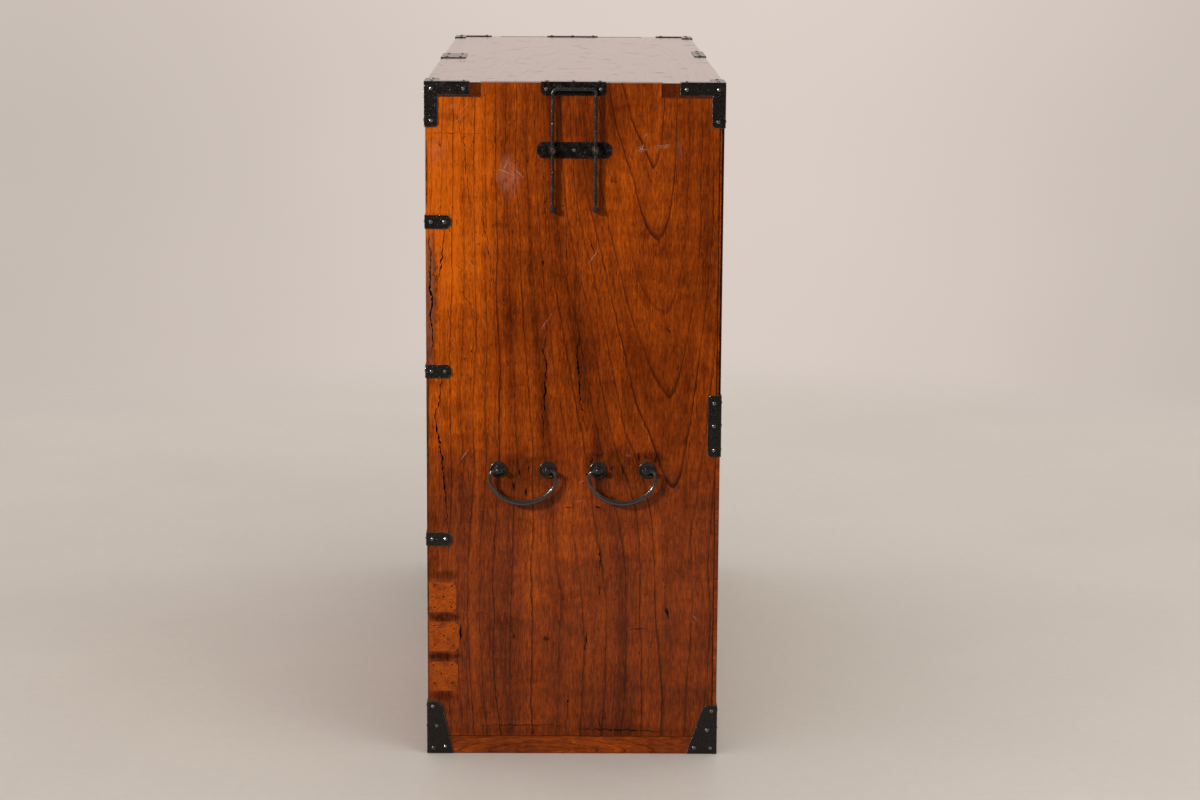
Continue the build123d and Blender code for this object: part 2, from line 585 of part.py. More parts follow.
def posts(spacing, standoff):
    """Two posts with pin holes, each standing on a round dished plate."""
    pieces = []
    for side in (-1, 1):
        rim_in = ROSETTE_R - 2.6
        outline = Polyline((rim_in, ROSETTE_THICK), (POST_R + 3.0, ROSETTE_THICK - 0.5),
                           (POST_R + 0.05, ROSETTE_THICK + 0.4), (POST_R + 0.05, 0), (ROSETTE_R, 0),
                           (ROSETTE_R, ROSETTE_RIM_R))
        outline += ThreePointArc((ROSETTE_R, ROSETTE_RIM_R), (ROSETTE_R - 1.1, ROSETTE_RIM_R + 0.9),
                                 (rim_in, ROSETTE_THICK))
        rosette = revolve(Plane.XZ * make_face(outline), Axis.Z, 360)
        post = Pos(0, 0, -POST_SHANK) * Cylinder(POST_R, POST_SHANK + standoff + PIN_R + POST_CAP,
                                                 align=ON_BASE)
        post = fillet(post.edges().filter_by(GeomType.CIRCLE).sort_by(Axis.Z)[-1], 1.8)
        post = post - Pos(0, 0, standoff) * Rot(0, 90, 0) * Cylinder(PIN_R + RUNNING_GAP, 4 * POST_R)
        pieces += [Pos(side * spacing / 2, 0, 0) * rosette, Pos(side * spacing / 2, 0, 0) * post]
    return pieces


def make_side_handles():
    nodes["right_loop_plates"] = loop_plates()
    nodes["left_loop_plates"] = mirrored(nodes["right_loop_plates"])
    nodes["right_pole_loop"] = [pole_loop()]
    nodes["left_pole_loop"] = mirrored(nodes["right_pole_loop"])
    hanging = bail(**SIDE_BAIL)
    carriers = posts(SIDE_BAIL["spacing"], SIDE_BAIL["standoff"])
    fixed = []
    for name, y in zip(("front", "back"), SIDE_BAIL_YS):
        place = on_face(RIGHT, y, SIDE_BAIL_Z)
        nodes[f"right_{name}_bail"] = [place * hanging]
        nodes[f"left_{name}_bail"] = mirrored(nodes[f"right_{name}_bail"])
        fixed += [place * piece for piece in carriers]
    nodes["side_handle_posts"] = fixed + mirrored(fixed)


# ---- Drawers ----------------------------------------------------------------------------------------
def drawer_wood(x0, x1, z0, z1, front_y, front_thick, side_thick, bottom_thick):
    """A drawer for an opening: its front, and its box of two sides, a back and a bottom."""
    left = x0 + SIDE_GAP
    right = x1 - SIDE_GAP
    low = z0 + REST_GAP
    high = z1 - TOP_GAP
    rear = back_face - REST_GAP
    lap = front_y + min(FRONT_LAP, front_thick / 2)
    inner_floor = low + bottom_thick
    front = block(left, right, front_y, front_y + front_thick, low, high)
    bottom = block(left, right, lap, rear, low, inner_floor)
    sides = [block(a, a + side_thick, lap, rear, inner_floor, high) for a in (left, right - side_thick)]
    for board in [bottom] + sides:
        front = front - board
    back = block(left + side_thick, right - side_thick, rear - side_thick, rear,
                 inner_floor, high - DRAWER_BACK_DROP)
    return front, sides + [back, bottom]


def corner_angles(face, x0, x1, z0, z1):
    """Iron angles on a drawer front's corners, with their nails."""
    pieces = []
    inset = ANGLE_WIDTH / 2
    tip = ANGLE_LEG - ANGLE_NAIL_FROM_END
    for x, sx in ((x0, 1), (x1, -1)):
        for z, sz in ((z0, 1), (z1, -1)):
            outline = [
                (x, z), (x + sx * ANGLE_LEG, z), (x + sx * ANGLE_LEG, z + sz * ANGLE_WIDTH),
                (x + sx * ANGLE_WIDTH, z + sz * ANGLE_WIDTH), (x + sx * ANGLE_WIDTH, z + sz * ANGLE_LEG),
                (x, z + sz * ANGLE_LEG)]
            places = [(x + sx * inset, z + sz * inset), (x + sx * tip, z + sz * inset),
                      (x + sx * inset, z + sz * tip)]
            pieces.append(punched(leaf(face, outline, ANGLE_THICK), face, places))
            pieces += nails(face, places, ANGLE_THICK, SMALL_NAIL)
    return pieces


def keyhole(depth):
    """The keyhole's shape, from z = -depth outwards."""
    slot = Pos(0, -KEYHOLE_LENGTH / 2, 0) * Box(KEYHOLE_SLOT, KEYHOLE_LENGTH, depth + 2 * PLATE)
    return Pos(0, 0, -depth / 2 + PLATE) * (Cylinder(KEYHOLE_R, depth + 2 * PLATE) + slot)


def lock_plate():
    plate = Cylinder(LOCK_LOBE_R * 0.8, LOCK_PLATE_THICK, align=ON_BASE)
    for dx, dy in ((-1, 0), (1, 0), (0, -1), (0, 1)):
        plate = plate + Pos(dx * LOCK_LOBE_OFFSET, dy * LOCK_LOBE_OFFSET, 0) * Cylinder(
            LOCK_LOBE_R, LOCK_PLATE_THICK, align=ON_BASE)
    return plate - keyhole(KEYHOLE_DEPTH)


def wide_drawer(name, x0, x1, z0, z1, handle_xs, lock):
    """A drawer with corner angles, one bail at each of handle_xs, and a lock if it has one."""
    front_y = FRONT_RECESS - half_depth
    front, box = drawer_wood(x0, x1, z0, z1, front_y, FRONT_THICK, DRAWER_SIDE, DRAWER_BOTTOM)
    face = Plane(origin=(0, front_y, 0), x_dir=(1, 0, 0), z_dir=(0, -1, 0))
    middle_x = (x0 + x1) / 2
    middle_z = (z0 + z1) / 2
    iron = corner_angles(face, x0 + SIDE_GAP, x1 - SIDE_GAP, z0 + REST_GAP, z1 - TOP_GAP)
    pivot_z = middle_z + DRAWER_BAIL_RISE
    for label, dx in handle_xs.items():
        place = on_face(face, middle_x + dx, pivot_z)
        iron += [place * piece for piece in posts(DRAWER_BAIL["spacing"], DRAWER_BAIL["standoff"])]
        nodes[f"{name}_{label}"] = [place * bail(**DRAWER_BAIL)]
    if lock:
        lock_z = middle_z + LOCK_RISE
        place = on_face(face, middle_x, lock_z)
        reach = LOCK_LOBE_R + LOCK_LOBE_OFFSET - LOCK_NAIL_FROM_RIM
        places = [(middle_x + dx * reach, lock_z + dz * reach)
                  for dx, dz in ((-1, 0), (1, 0), (0, -1), (0, 1))]
        iron.append(punched(place * lock_plate(), face, places))
        iron += nails(face, places, LOCK_PLATE_THICK, SMALL_NAIL)
        front = front - place * keyhole(KEYHOLE_DEPTH)
        wide, deep, tall = LOCK_CASE
        behind = front_y + FRONT_THICK
        iron.append(block(middle_x - wide / 2, middle_x + wide / 2, behind, behind + deep,
                          lock_z - tall / 2, lock_z + tall / 2))
    nodes[f"{name}_front"] = [front]
    nodes[f"{name}_box"] = box
    nodes[f"{name}_fittings"] = iron


def small_drawer(name, z0, z1):
    """A drawer of the right bay, with one small bail."""
    front_y = DOOR_RECESS - half_depth
    front, box = drawer_wood(partition_right, inner_half, z0, z1, front_y,
                             SMALL_FRONT_THICK, SMALL_DRAWER_SIDE, SMALL_DRAWER_BOTTOM)
    face = Plane(origin=(0, front_y, 0), x_dir=(1, 0, 0), z_dir=(0, -1, 0))
    place = on_face(face, (partition_right + inner_half) / 2, (z0 + z1) / 2 + SMALL_BAIL_RISE)
    nodes[name] = [front] + box
    nodes[f"{name}_posts"] = [place * piece for piece in posts(SMALL_BAIL["spacing"],
                                                               SMALL_BAIL["standoff"])]
    nodes[f"{name}_bail"] = [place * bail(**SMALL_BAIL)]


def make_drawers():
    openings = rows()
    pair = {"left_bail": -DRAWER_BAIL_X, "right_bail": DRAWER_BAIL_X}
    for name, (low, high) in zip(("top_drawer", "second_drawer", "third_drawer"), openings):
        wide_drawer(name, -inner_half, inner_half, low, high, pair, lock=True)
    low, high = openings[-1]
    bay_top = (low + high + BAY_DIVIDER_HEIGHT) / 2
    one = {"bail": 0.0}
    wide_drawer("left_bay_upper_drawer", -inner_half, partition_left, bay_top, high, one, lock=False)
    wide_drawer("left_bay_lower_drawer", -inner_half, partition_left, low,
                bay_top - BAY_DIVIDER_HEIGHT, one, lock=False)
    for i, (z0, z1) in enumerate(small_openings()):
        small_drawer(f"small_drawer_{i + 1}", z0, z1)


make_case()
make_case_iron()
make_side_handles()
make_drawers()

os.makedirs("parts", exist_ok=True)
for node, pieces in nodes.items():
    solids = [solid for piece in pieces for solid in piece.solids()]
    export_step(Compound(children=solids), f"parts/{node}.step")
print(len(nodes), "nodes")
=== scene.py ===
"""Isho clothing chest: worn edges, marks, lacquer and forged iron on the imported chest, with a plain stage.

Metres, +Z up, origin on the floor in the middle of the case. The front looks to -Y and the right side,
as seen from the front, looks to +X.
"""
import json
import math
import random

import bmesh
import bpy
from bpy.props import FloatProperty, FloatVectorProperty, IntProperty, PointerProperty
from mathutils import Matrix, Vector, noise


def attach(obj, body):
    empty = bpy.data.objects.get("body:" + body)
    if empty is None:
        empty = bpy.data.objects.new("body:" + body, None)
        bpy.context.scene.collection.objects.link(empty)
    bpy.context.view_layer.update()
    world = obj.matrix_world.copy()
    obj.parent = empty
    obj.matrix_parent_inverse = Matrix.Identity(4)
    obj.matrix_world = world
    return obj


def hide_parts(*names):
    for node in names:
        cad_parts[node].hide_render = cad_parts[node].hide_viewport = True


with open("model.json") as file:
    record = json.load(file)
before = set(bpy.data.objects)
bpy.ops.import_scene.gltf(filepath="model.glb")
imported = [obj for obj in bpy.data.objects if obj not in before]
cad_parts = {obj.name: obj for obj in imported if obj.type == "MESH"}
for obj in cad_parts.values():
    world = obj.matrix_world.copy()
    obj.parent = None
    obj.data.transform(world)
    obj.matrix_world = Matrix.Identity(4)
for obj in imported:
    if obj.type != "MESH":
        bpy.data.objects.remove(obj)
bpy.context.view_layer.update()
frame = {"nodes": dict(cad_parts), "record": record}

bl_info = {
    "name": "Isho Clothing Chest",
    "version": (1, 0, 0),
    "blender": (4, 5, 0),
    "location": "View3D > Sidebar > Chest",
    "description": "Finishes an old lacquered clothing chest with iron fittings",
    "category": "Object",
}

MM = 0.001
NODES = frame["nodes"]
BODY_OF = {node: body for body, members in frame["record"]["behaviour"]["bodies"].items()
           for node in members}
RIGHT_FACE = max(v.co.x for v in NODES["right_side_board"].data.vertices)
TOP_FACE = max(v.co.z for v in NODES["top_board"].data.vertices)
FRONT_FACE = min(v.co.y for v in NODES["top_board"].data.vertices)
BACK_FACE = max(v.co.y for v in NODES["top_board"].data.vertices)
RAIL_BACK = FRONT_FACE + 0.040                  # the front rails are lacquered this far back
SMALL_DRAWER_FRONT = FRONT_FACE + 0.022         # the small drawers stand back from the chest's front
SMALL_FRONT_BACK = SMALL_DRAWER_FRONT + 0.015   # back of the small drawers' lacquered fronts
KEEPER_FACE = RIGHT_FACE + 0.0028               # the eyes on the keepers stand out beyond this
CUT_CRACK, CUT_SCRATCH = range(2)               # the marking tools' materials, in cut_materials' order

# ---- Marks on the right side board: (along the depth, height) in mm -----------------------------------
# Sizes of marks are in mm too, apart from those written with MM, which are in metres.
CRACK_SPREAD = 1.5      # the lacquer has chipped off along a crack, this many times its own width
SCRATCH_WIDTH = 1.5
SCRATCH_DEPTH = 0.10
SCRATCH_WOBBLE = 0.9 * MM
GHOST_DEPTH = 0.3 * MM
GHOST_CLIP = 6.0        # how much is cut off a hinge leaf's two inner corners
GROOVE_STEP = 3.5
NAIL_HOLE_R = 1.2 * MM
NAIL_HOLE_DEPTH = 4.0 * MM
# Each crack: width, depth, points.
RIGHT_CRACKS = (
    (2.0, 3.0, ((-190.5, 578), (-195, 556), (-196.2, 537), (-203.1, 516), (-197.1, 485), (-193.2, 457),
                (-189, 414), (-186.5, 380), (-184.4, 350), (-182.6, 339))),
    (1.5, 2.5, ((-187.4, 791), (-190.5, 758), (-193.1, 733), (-198.6, 711), (-197.2, 700))),
    (2.4, 2.0, ((-211.3, 785), (-207.9, 751), (-208.8, 700), (-205.2, 690), (-208.2, 663), (-204.8, 630),
                (-209.3, 597))),
    (1.7, 3.0, ((-33, 671), (-40.3, 649), (-39.1, 632), (-44.9, 612), (-39.7, 594), (-41.8, 564),
                (-42.8, 531), (-44.6, 516), (-44.5, 451))),
    (1.7, 3.0, ((1.5, 668), (11.7, 649), (7.1, 635), (5.4, 609), (7.8, 575), (8.6, 535), (10.9, 527),
                (18.3, 521), (13.9, 509), (20.6, 492))),
    (0.8, 1.5, ((-13.6, 810), (-10.5, 759), (-8.8, 693))),
    (0.9, 1.5, ((-46.2, 887), (-44, 846), (-42.5, 810), (-39.9, 781), (-43.8, 752))),
    (2.2, 2.0, ((-46.6, 744), (-45.2, 735))),
    (0.8, 1.2, ((-133.3, 838), (-132.6, 802), (-125.5, 773), (-121.2, 737), (-121.9, 678))),
    (0.7, 1.2, ((-95.8, 842), (-91.1, 795), (-87.2, 759), (-84.2, 722))),
    (0.8, 1.0, ((-171.7, 964), (-164.7, 928), (-157.5, 903), (-156.5, 868), (-151.5, 838), (-148.5, 806))),
    (0.7, 1.0, ((-196.5, 735), (-203, 729), (-206.5, 722), (-198, 720), (-193, 721))),
    (0.8, 1.0, ((-171, 738), (-160, 730), (-158, 728))),
    (0.6, 0.8, ((-173, 701), (-160, 694), (-148, 673), (-136, 659))),
    (1.4, 1.2, ((-149.5, 612), (-146.5, 606))), (1.6, 1.2, ((-103, 688), (-101, 683))),
    (1.2, 1.0, ((-97, 596), (-95, 588))), (1.3, 1.0, ((153, 590), (151, 582))),
    (1.0, 1.5, ((18.9, 781), (23.4, 770), (30, 752))),
    (2.0, 3.0, ((20, 189), (20.9, 176), (18, 160))),
    (1.2, 2.0, ((-6.3, 99), (-6.9, 57))),
    (1.4, 2.0, ((7.3, 64), (7.4, 54))),
    (1.2, 2.0, ((40.9, 56), (41.8, 41))),
    (1.3, 2.0, ((38.1, 323), (40.8, 298), (38.8, 275))),
    (1.0, 1.5, ((39.7, 258), (39.1, 237))),
    (3.2, 4.0, ((-165.7, 199), (-166.1, 175))),
    (1.6, 1.5, ((83.5, 191), (95, 192.6), (107.6, 192))),
    (4.0, 1.6, ((138.8, 227), (142.8, 207))),
    (1.2, 1.2, ((-141.2, 43.1), (-85.2, 44.1), (-18, 44.3))),
    (2.0, 1.2, ((8.1, 38.2), (75.4, 36.8), (131.6, 34.7))),
    (1.8, 1.6, ((-88.4, 418), (-86.9, 401))),
    (2.4, 1.6, ((-80.3, 433), (-78.2, 425))),
    (2.2, 1.6, ((-65.3, 440), (-66.4, 432))),
    (2.0, 1.6, ((-68.5, 407), (-69.3, 393))),
    (1.6, 1.6, ((71.9, 445), (72.8, 423))),
    (2.6, 1.4, ((57.6, 440), (56.2, 433))),
    (1.8, 1.6, ((95.2, 460), (96.1, 446))),
    (2.2, 1.6, ((124, 459), (118.1, 444))),
    (1.4, 1.6, ((104, 453), (113, 452))),
    (1.7, 1.4, ((24, 457), (27, 449), (25, 441))),
    (1.5, 1.4, ((37.3, 455), (46, 459))),
    (2.4, 1.2, ((33, 379), (41.4, 377))),
    (2.4, 1.2, ((20.9, 429), (18.8, 426))),
    (2.0, 1.0, ((117, 909.4), (123, 909.8))),
    (2.2, 1.0, ((131, 911.6), (136, 912.2))),
    (2.2, 1.6, ((136.1, 646), (139.8, 638))),
    (0.5, 0.6, ((-211.3, 926.6), (-175.5, 927.4), (-135.3, 926.8))),
    (0.5, 0.6, ((-163.3, 160), (-153.9, 198), (-143, 212), (-133.4, 218), (-122.3, 213), (-122.4, 160))),
    (0.9, 0.8, ((-140.6, 372), (-125.2, 370))),
    (1.0, 0.8, ((-15.5, 376), (2.8, 378))),
)
RIGHT_SCRATCHES = (
    ((-160.3, 960), (-153.9, 970)), ((98.6, 923), (105.1, 928)), ((20.7, 740), (34.3, 759)),
    ((-48.6, 642), (-31.2, 667)), ((-165.3, 448), (-151.4, 467)), ((8.1, 415), (16.6, 418)),
    ((3.9, 386), (13.8, 388)), ((-110.9, 876), (-85.8, 867)), ((-105.5, 867), (-94.7, 892)),
    ((-85.8, 876), (-73.5, 864)), ((91.2, 908), (107, 904)), ((99.1, 913), (95.6, 900)),
    ((91.2, 902), (99.1, 910)), ((178, 214), (186, 205)), ((-152, 742), (-147, 735)),
    ((114.6, 906.6), (137.5, 909.6)), ((114.6, 909), (137.5, 912.5)), ((-170, 944), (-158, 955)),
)
# Where three hinge leaves used to be: outline's ends and heights, then its nail holes.
HINGE_GHOSTS = (
    ((-213, -173), (217.7, 263.5), ((-205.1, 258.5), (-179.4, 257.5), (-191.3, 241.1), (-204.2, 224.7),
                                    (-179.5, 224.8))),
    ((-213, -168.6), (157.5, 203.1), ((-204.6, 197), (-175.6, 192.6), (-204.7, 167), (-176.4, 167.3),
                                      (-191.2, 182))),
    ((-213, -170), (97, 142), ((-206.6, 136.5), (-178.6, 136.8), (-204.1, 108.1), (-179.2, 108.3),
                               (-195, 122.6))),
)
# Soft marks: middle, half sizes, strength. The dark ones first, then the pale scuffs. Most dark ones are
# stains; two are patches of painted shade in and beside the pole loops.
RIGHT_DARK = (
    ((-74, 432), (62, 34), 0.55), ((77, 438), (66, 34), 0.60), ((-207, 690), (12, 105), 0.80),
    ((-192, 210), (27, 8), 0.85), ((-192, 150), (27, 7), 0.85), ((-190, 274), (26, 9), 0.60),
    ((-193, 88), (24, 9), 0.6), ((0, 36), (230, 12), 0.35), ((-39, 177.5), (6, 5), 0.85),
    ((-87, 181), (3, 4.5), 0.7),
    ((-208, 330), (10, 70), 0.45), ((118, 452), (22, 10), 0.7), ((191, 584), (7, 17), 0.35),
    ((-42, 560), (9, 120), 0.45), ((10, 585), (10, 95), 0.42), ((30, 452), (13, 12), 0.55),
    ((-204, 740), (4, 70), 0.7), ((60, 700), (30, 60), 0.12), ((-213, 870), (2.2, 75), 0.85),
    ((-214, 560), (3, 200), 0.75), ((-204, 300), (12, 22), 0.5), ((-214, 300), (3, 120), 0.7),
    ((-87.6, 410), (3.2, 10), 0.8), ((-79.3, 429), (3, 6), 0.8), ((-66, 436), (2.6, 6), 0.7),
    ((-69, 400), (2.4, 8), 0.75), ((72.3, 434), (3.2, 13), 0.7), ((57, 437), (3, 5), 0.7),
    ((95.6, 453), (4, 9), 0.8), ((121, 452), (6, 9), 0.85), ((33, 456), (9, 4), 0.8),
    ((25, 445), (3, 8), 0.75),
    # painted shade: the first two patches on this line darken the board in and beside the pole loops
    ((12, 880), (26, 62), 0.22), ((-12, 940), (30, 26), 0.20), ((-178, 950), (30, 8), 0.22),
    ((-110, 850), (9, 26), 0.30), ((212, 500), (3, 60), 0.5),
)
RIGHT_PALE = (
    ((-96, 867), (18, 34), 0.50), ((-175, 965.5), (10, 3.5), 0.45), ((97, 906), (9, 5), 0.35),
    ((81, 456), (5, 2.5), 0.35), ((-209, 700), (7, 118), 0.42), ((-206, 900), (5, 30), 0.30),
    ((-196, 905), (14, 26), 0.16), ((150, 906), (6, 22), 0.18),
)

# ---- Marks on the left side board, in mm --------------------------------------------------------------
# Each crack: where its upper end is along the depth, that end's height, and how far it runs down.
LEFT_CRACKS = ((-60, 610, 190), (22, 520, 150), (110, 250, 120), (-150, 330, 90), (150, 740, 110),
               (-20, 120, 80), (-188, 640, 120))
LEFT_CRACK_DEPTH = 2.5
LEFT_SCRATCHES = 9
LEFT_SCRATCH_WIDTH = 0.8
LEFT_SCRATCH_DEPTH = 0.15
LEFT_SCRATCH_WOBBLE = 0.3 * MM
LEFT_DARK = (((-74, 432), (60, 30), 0.5), ((77, 438), (60, 32), 0.5), ((0, 34), (230, 15), 0.5),
             ((206, 600), (9, 160), 0.4))
LEFT_PALE = (((60, 700), (20, 26), 0.35), ((-120, 560), (12, 22), 0.3))

# ---- Nails --------------------------------------------------------------------------------------------
NAIL_HEAD = 1.6 * MM        # how high a nail's head stands
NAIL_SHANK_R = 0.9 * MM
NAIL_TIP_R = 0.8 * MM       # radius where a nail's pointed end begins
NAIL_TIP = 1.2 * MM         # length of that end
# The head's dome: radius and height, as shares of the head's radius and height.
NAIL_DOME = ((0.0, 0.0), (0.42, -0.10), (0.74, -0.36), (0.93, -0.72), (1.0, -1.0))


# ---- Settings that a user can change ------------------------------------------------------------------
def colour(name, description, default):
    return FloatVectorProperty(name=name, description=description, default=default, size=3,
                               min=0.0, max=1.0, subtype="COLOR")


def length(name, description, default):
    return FloatProperty(name=name, description=description, default=default, min=0.0,
                         unit="LENGTH", subtype="DISTANCE", precision=5)


def share(name, description, default):
    return FloatProperty(name=name, description=description, default=default, min=0.0, max=1.0,
                         subtype="FACTOR")


class ChestLacquer(bpy.types.PropertyGroup):
    """Colours and gloss of the lacquered boards."""
    bright: colour("Bright wood", "Lacquered wood where it is lightest", (0.33, 0.059, 0.0004))
    amber: colour("Amber wood", "Lacquered wood over most of the case", (0.138, 0.0205, 0.0003))
    deep: colour("Deep wood", "Lacquered wood in its darker bands", (0.052, 0.0073, 0.0003))
    # line also colours the stains and the painted shade that the side boards' shading adds
    line: colour("Ring line", "Dark edge of a growth ring", (0.009, 0.0020, 0.0006))
    grime: colour("Grime", "Dirt in cracks, pores and round the iron", (0.010, 0.004, 0.002))
    scuffed: colour("Scuffed lacquer", "Lacquer that has been rubbed dull", (0.17, 0.070, 0.047))
    gloss: share("Gloss roughness", "Roughness of the lacquer's skin", 0.16)


class ChestBareWood(bpy.types.PropertyGroup):
    """Colours of the unfinished boards."""
    light: colour("Light wood", "Unfinished softwood where it is clean", (0.36, 0.22, 0.115))
    dark: colour("Dark wood", "Unfinished softwood that has gone grey-brown", (0.13, 0.075, 0.042))


class ChestIron(bpy.types.PropertyGroup):
    """Colours of the forged iron."""
    black: colour("Black iron", "Iron under its old black skin", (0.019, 0.0160, 0.0145))
    worn: colour("Worn iron", "Iron rubbed bright on edges and heads", (0.36, 0.335, 0.31))
    rust: colour("Rust", "Brown rust in hollows", (0.024, 0.0105, 0.0065))


class ChestWear(bpy.types.PropertyGroup):
    """How worn the pieces are."""
    board_edge: length("Board edges", "How far a board's edges are rounded", 0.0011)
    inner_edge: length("Inner edges", "How far an inner board's edges are rounded", 0.0005)
    plank_edge: length("Back planks", "How far the edges of the back's planks are rounded", 0.0010)
    plate_edge: length("Plate edges", "How far a sheet-iron edge is rounded", 0.00035)
    plate_wobble: length("Plate outline", "How far a hand-cut outline strays", 0.00045)
    crack_wobble: length("Crack wobble", "How far a crack strays from its line", 0.0026)
    nail_sides: IntProperty(name="Nail sides", description="Sides of a nail's head", default=12, min=6,
                            max=48)


class ChestStage(bpy.types.PropertyGroup):
    """Floor, background, lamps and camera."""
    floor: colour("Floor", "Pale floor", (0.80, 0.73, 0.66))
    background: colour("Background", "What is seen behind the chest", (0.72, 0.63, 0.575))
    key_power: FloatProperty(name="Key lamp", description="Lamp in front on the left, aimed at the side",
                             default=1400.0, min=0.0, unit="POWER")
    fill_power: FloatProperty(name="Fill lamp", description="Soft lamp in front on the right",
                              default=26.0, min=0.0, unit="POWER")
    back_power: FloatProperty(name="Back lamp", description="Soft lamp behind the chest",
                              default=40.0, min=0.0, unit="POWER")
    lens: FloatProperty(name="Lens", description="Camera's focal length in millimetres", default=83.37,
                        min=1.0)


SETTINGS = {"chest_lacquer": ChestLacquer, "chest_bare_wood": ChestBareWood, "chest_iron": ChestIron,
            "chest_wear": ChestWear, "chest_stage": ChestStage}


def setting(group):
    return getattr(bpy.context.scene, "chest_" + group)


def rgba(value):
    return (*value, 1.0)


# ---- Shader nodes -------------------------------------------------------------------------------------
class Wiring:
    """Places and links the nodes of one shader tree."""

    def __init__(self, tree):
        self.tree = tree

    def add(self, kind, sockets=None, **settings):
        node = self.tree.nodes.new(kind)
        for name, value in settings.items():
            setattr(node, name, value)
        for name, value in (sockets or {}).items():
            self.feed(node.inputs[name], value)
        return node

    def feed(self, socket, value):
        if isinstance(value, bpy.types.NodeSocket):
            self.tree.links.new(value, socket)
        else:
            socket.default_value = value

    def math(self, operation, *values, clamp=False):
        node = self.add("ShaderNodeMath", operation=operation, use_clamp=clamp)
        for socket, value in zip(node.inputs, values):
            self.feed(socket, value)
        return node.outputs[0]

    def ramp(self, value, low, high, first=0.0, last=1.0):
        """Runs smoothly from first to last while value goes from low to high."""
        node = self.add("ShaderNodeMapRange", {"Value": value, "From Min": low, "From Max": high,
                                               "To Min": first, "To Max": last},
                        interpolation_type="SMOOTHSTEP")
        return node.outputs["Result"]

    def noise(self, vector, scale, detail=2.0, roughness=0.5):
        return self.add("ShaderNodeTexNoise", {"Vector": vector, "Scale": scale, "Detail": detail,
                                               "Roughness": roughness}).outputs["Fac"]

    def stretched(self, vector, scale, shift=(0.0, 0.0, 0.0)):
        return self.add("ShaderNodeMapping", {"Vector": vector, "Scale": scale,
                                              "Location": shift}).outputs["Vector"]

    def blend(self, factor, first, second, mode="MIX"):
        node = self.add("ShaderNodeMix", data_type="RGBA", blend_type=mode)
        self.feed(node.inputs[0], factor)
        self.feed(node.inputs[6], first)
        self.feed(node.inputs[7], second)
        return node.outputs[2]

    def group(self, tree, sockets):
        node = self.add("ShaderNodeGroup", node_tree=tree)
        for name, value in sockets.items():
            self.feed(node.inputs[name], value)
        return node.outputs

    def axes(self, vector):
        return self.add("ShaderNodeSeparateXYZ", {"Vector": vector}).outputs

    def vector(self, x, y, z):
        return self.add("ShaderNodeCombineXYZ", {"X": x, "Y": y, "Z": z}).outputs["Vector"]

    def sum(self, first, second):
        return self.add("ShaderNodeVectorMath", {0: first, 1: second}, operation="ADD").outputs["Vector"]

    def centred(self, vector, scale, shift=(0.0, 0.0, 0.0), detail=2.0, roughness=0.5):
        """Stretched noise that runs to both sides of nought."""
        cloud = self.noise(self.stretched(vector, scale, shift), 1.0, detail, roughness)
        return self.math("SUBTRACT", cloud, 0.5)


def node_group(name, inputs, outputs, build):
    """A shader node group, built once."""
    if name in bpy.data.node_groups:
        return bpy.data.node_groups[name]
    tree = bpy.data.node_groups.new(name, "ShaderNodeTree")
    for direction, sockets in (("INPUT", inputs), ("OUTPUT", outputs)):
        for label, kind in sockets:
            tree.interface.new_socket(name=label, in_out=direction, socket_type="NodeSocket" + kind)
    wires = Wiring(tree)
    given = wires.add("NodeGroupInput").outputs
    result = wires.add("NodeGroupOutput").inputs
    for label, socket in build(wires, given).items():
        wires.feed(result[label], socket)
    return tree


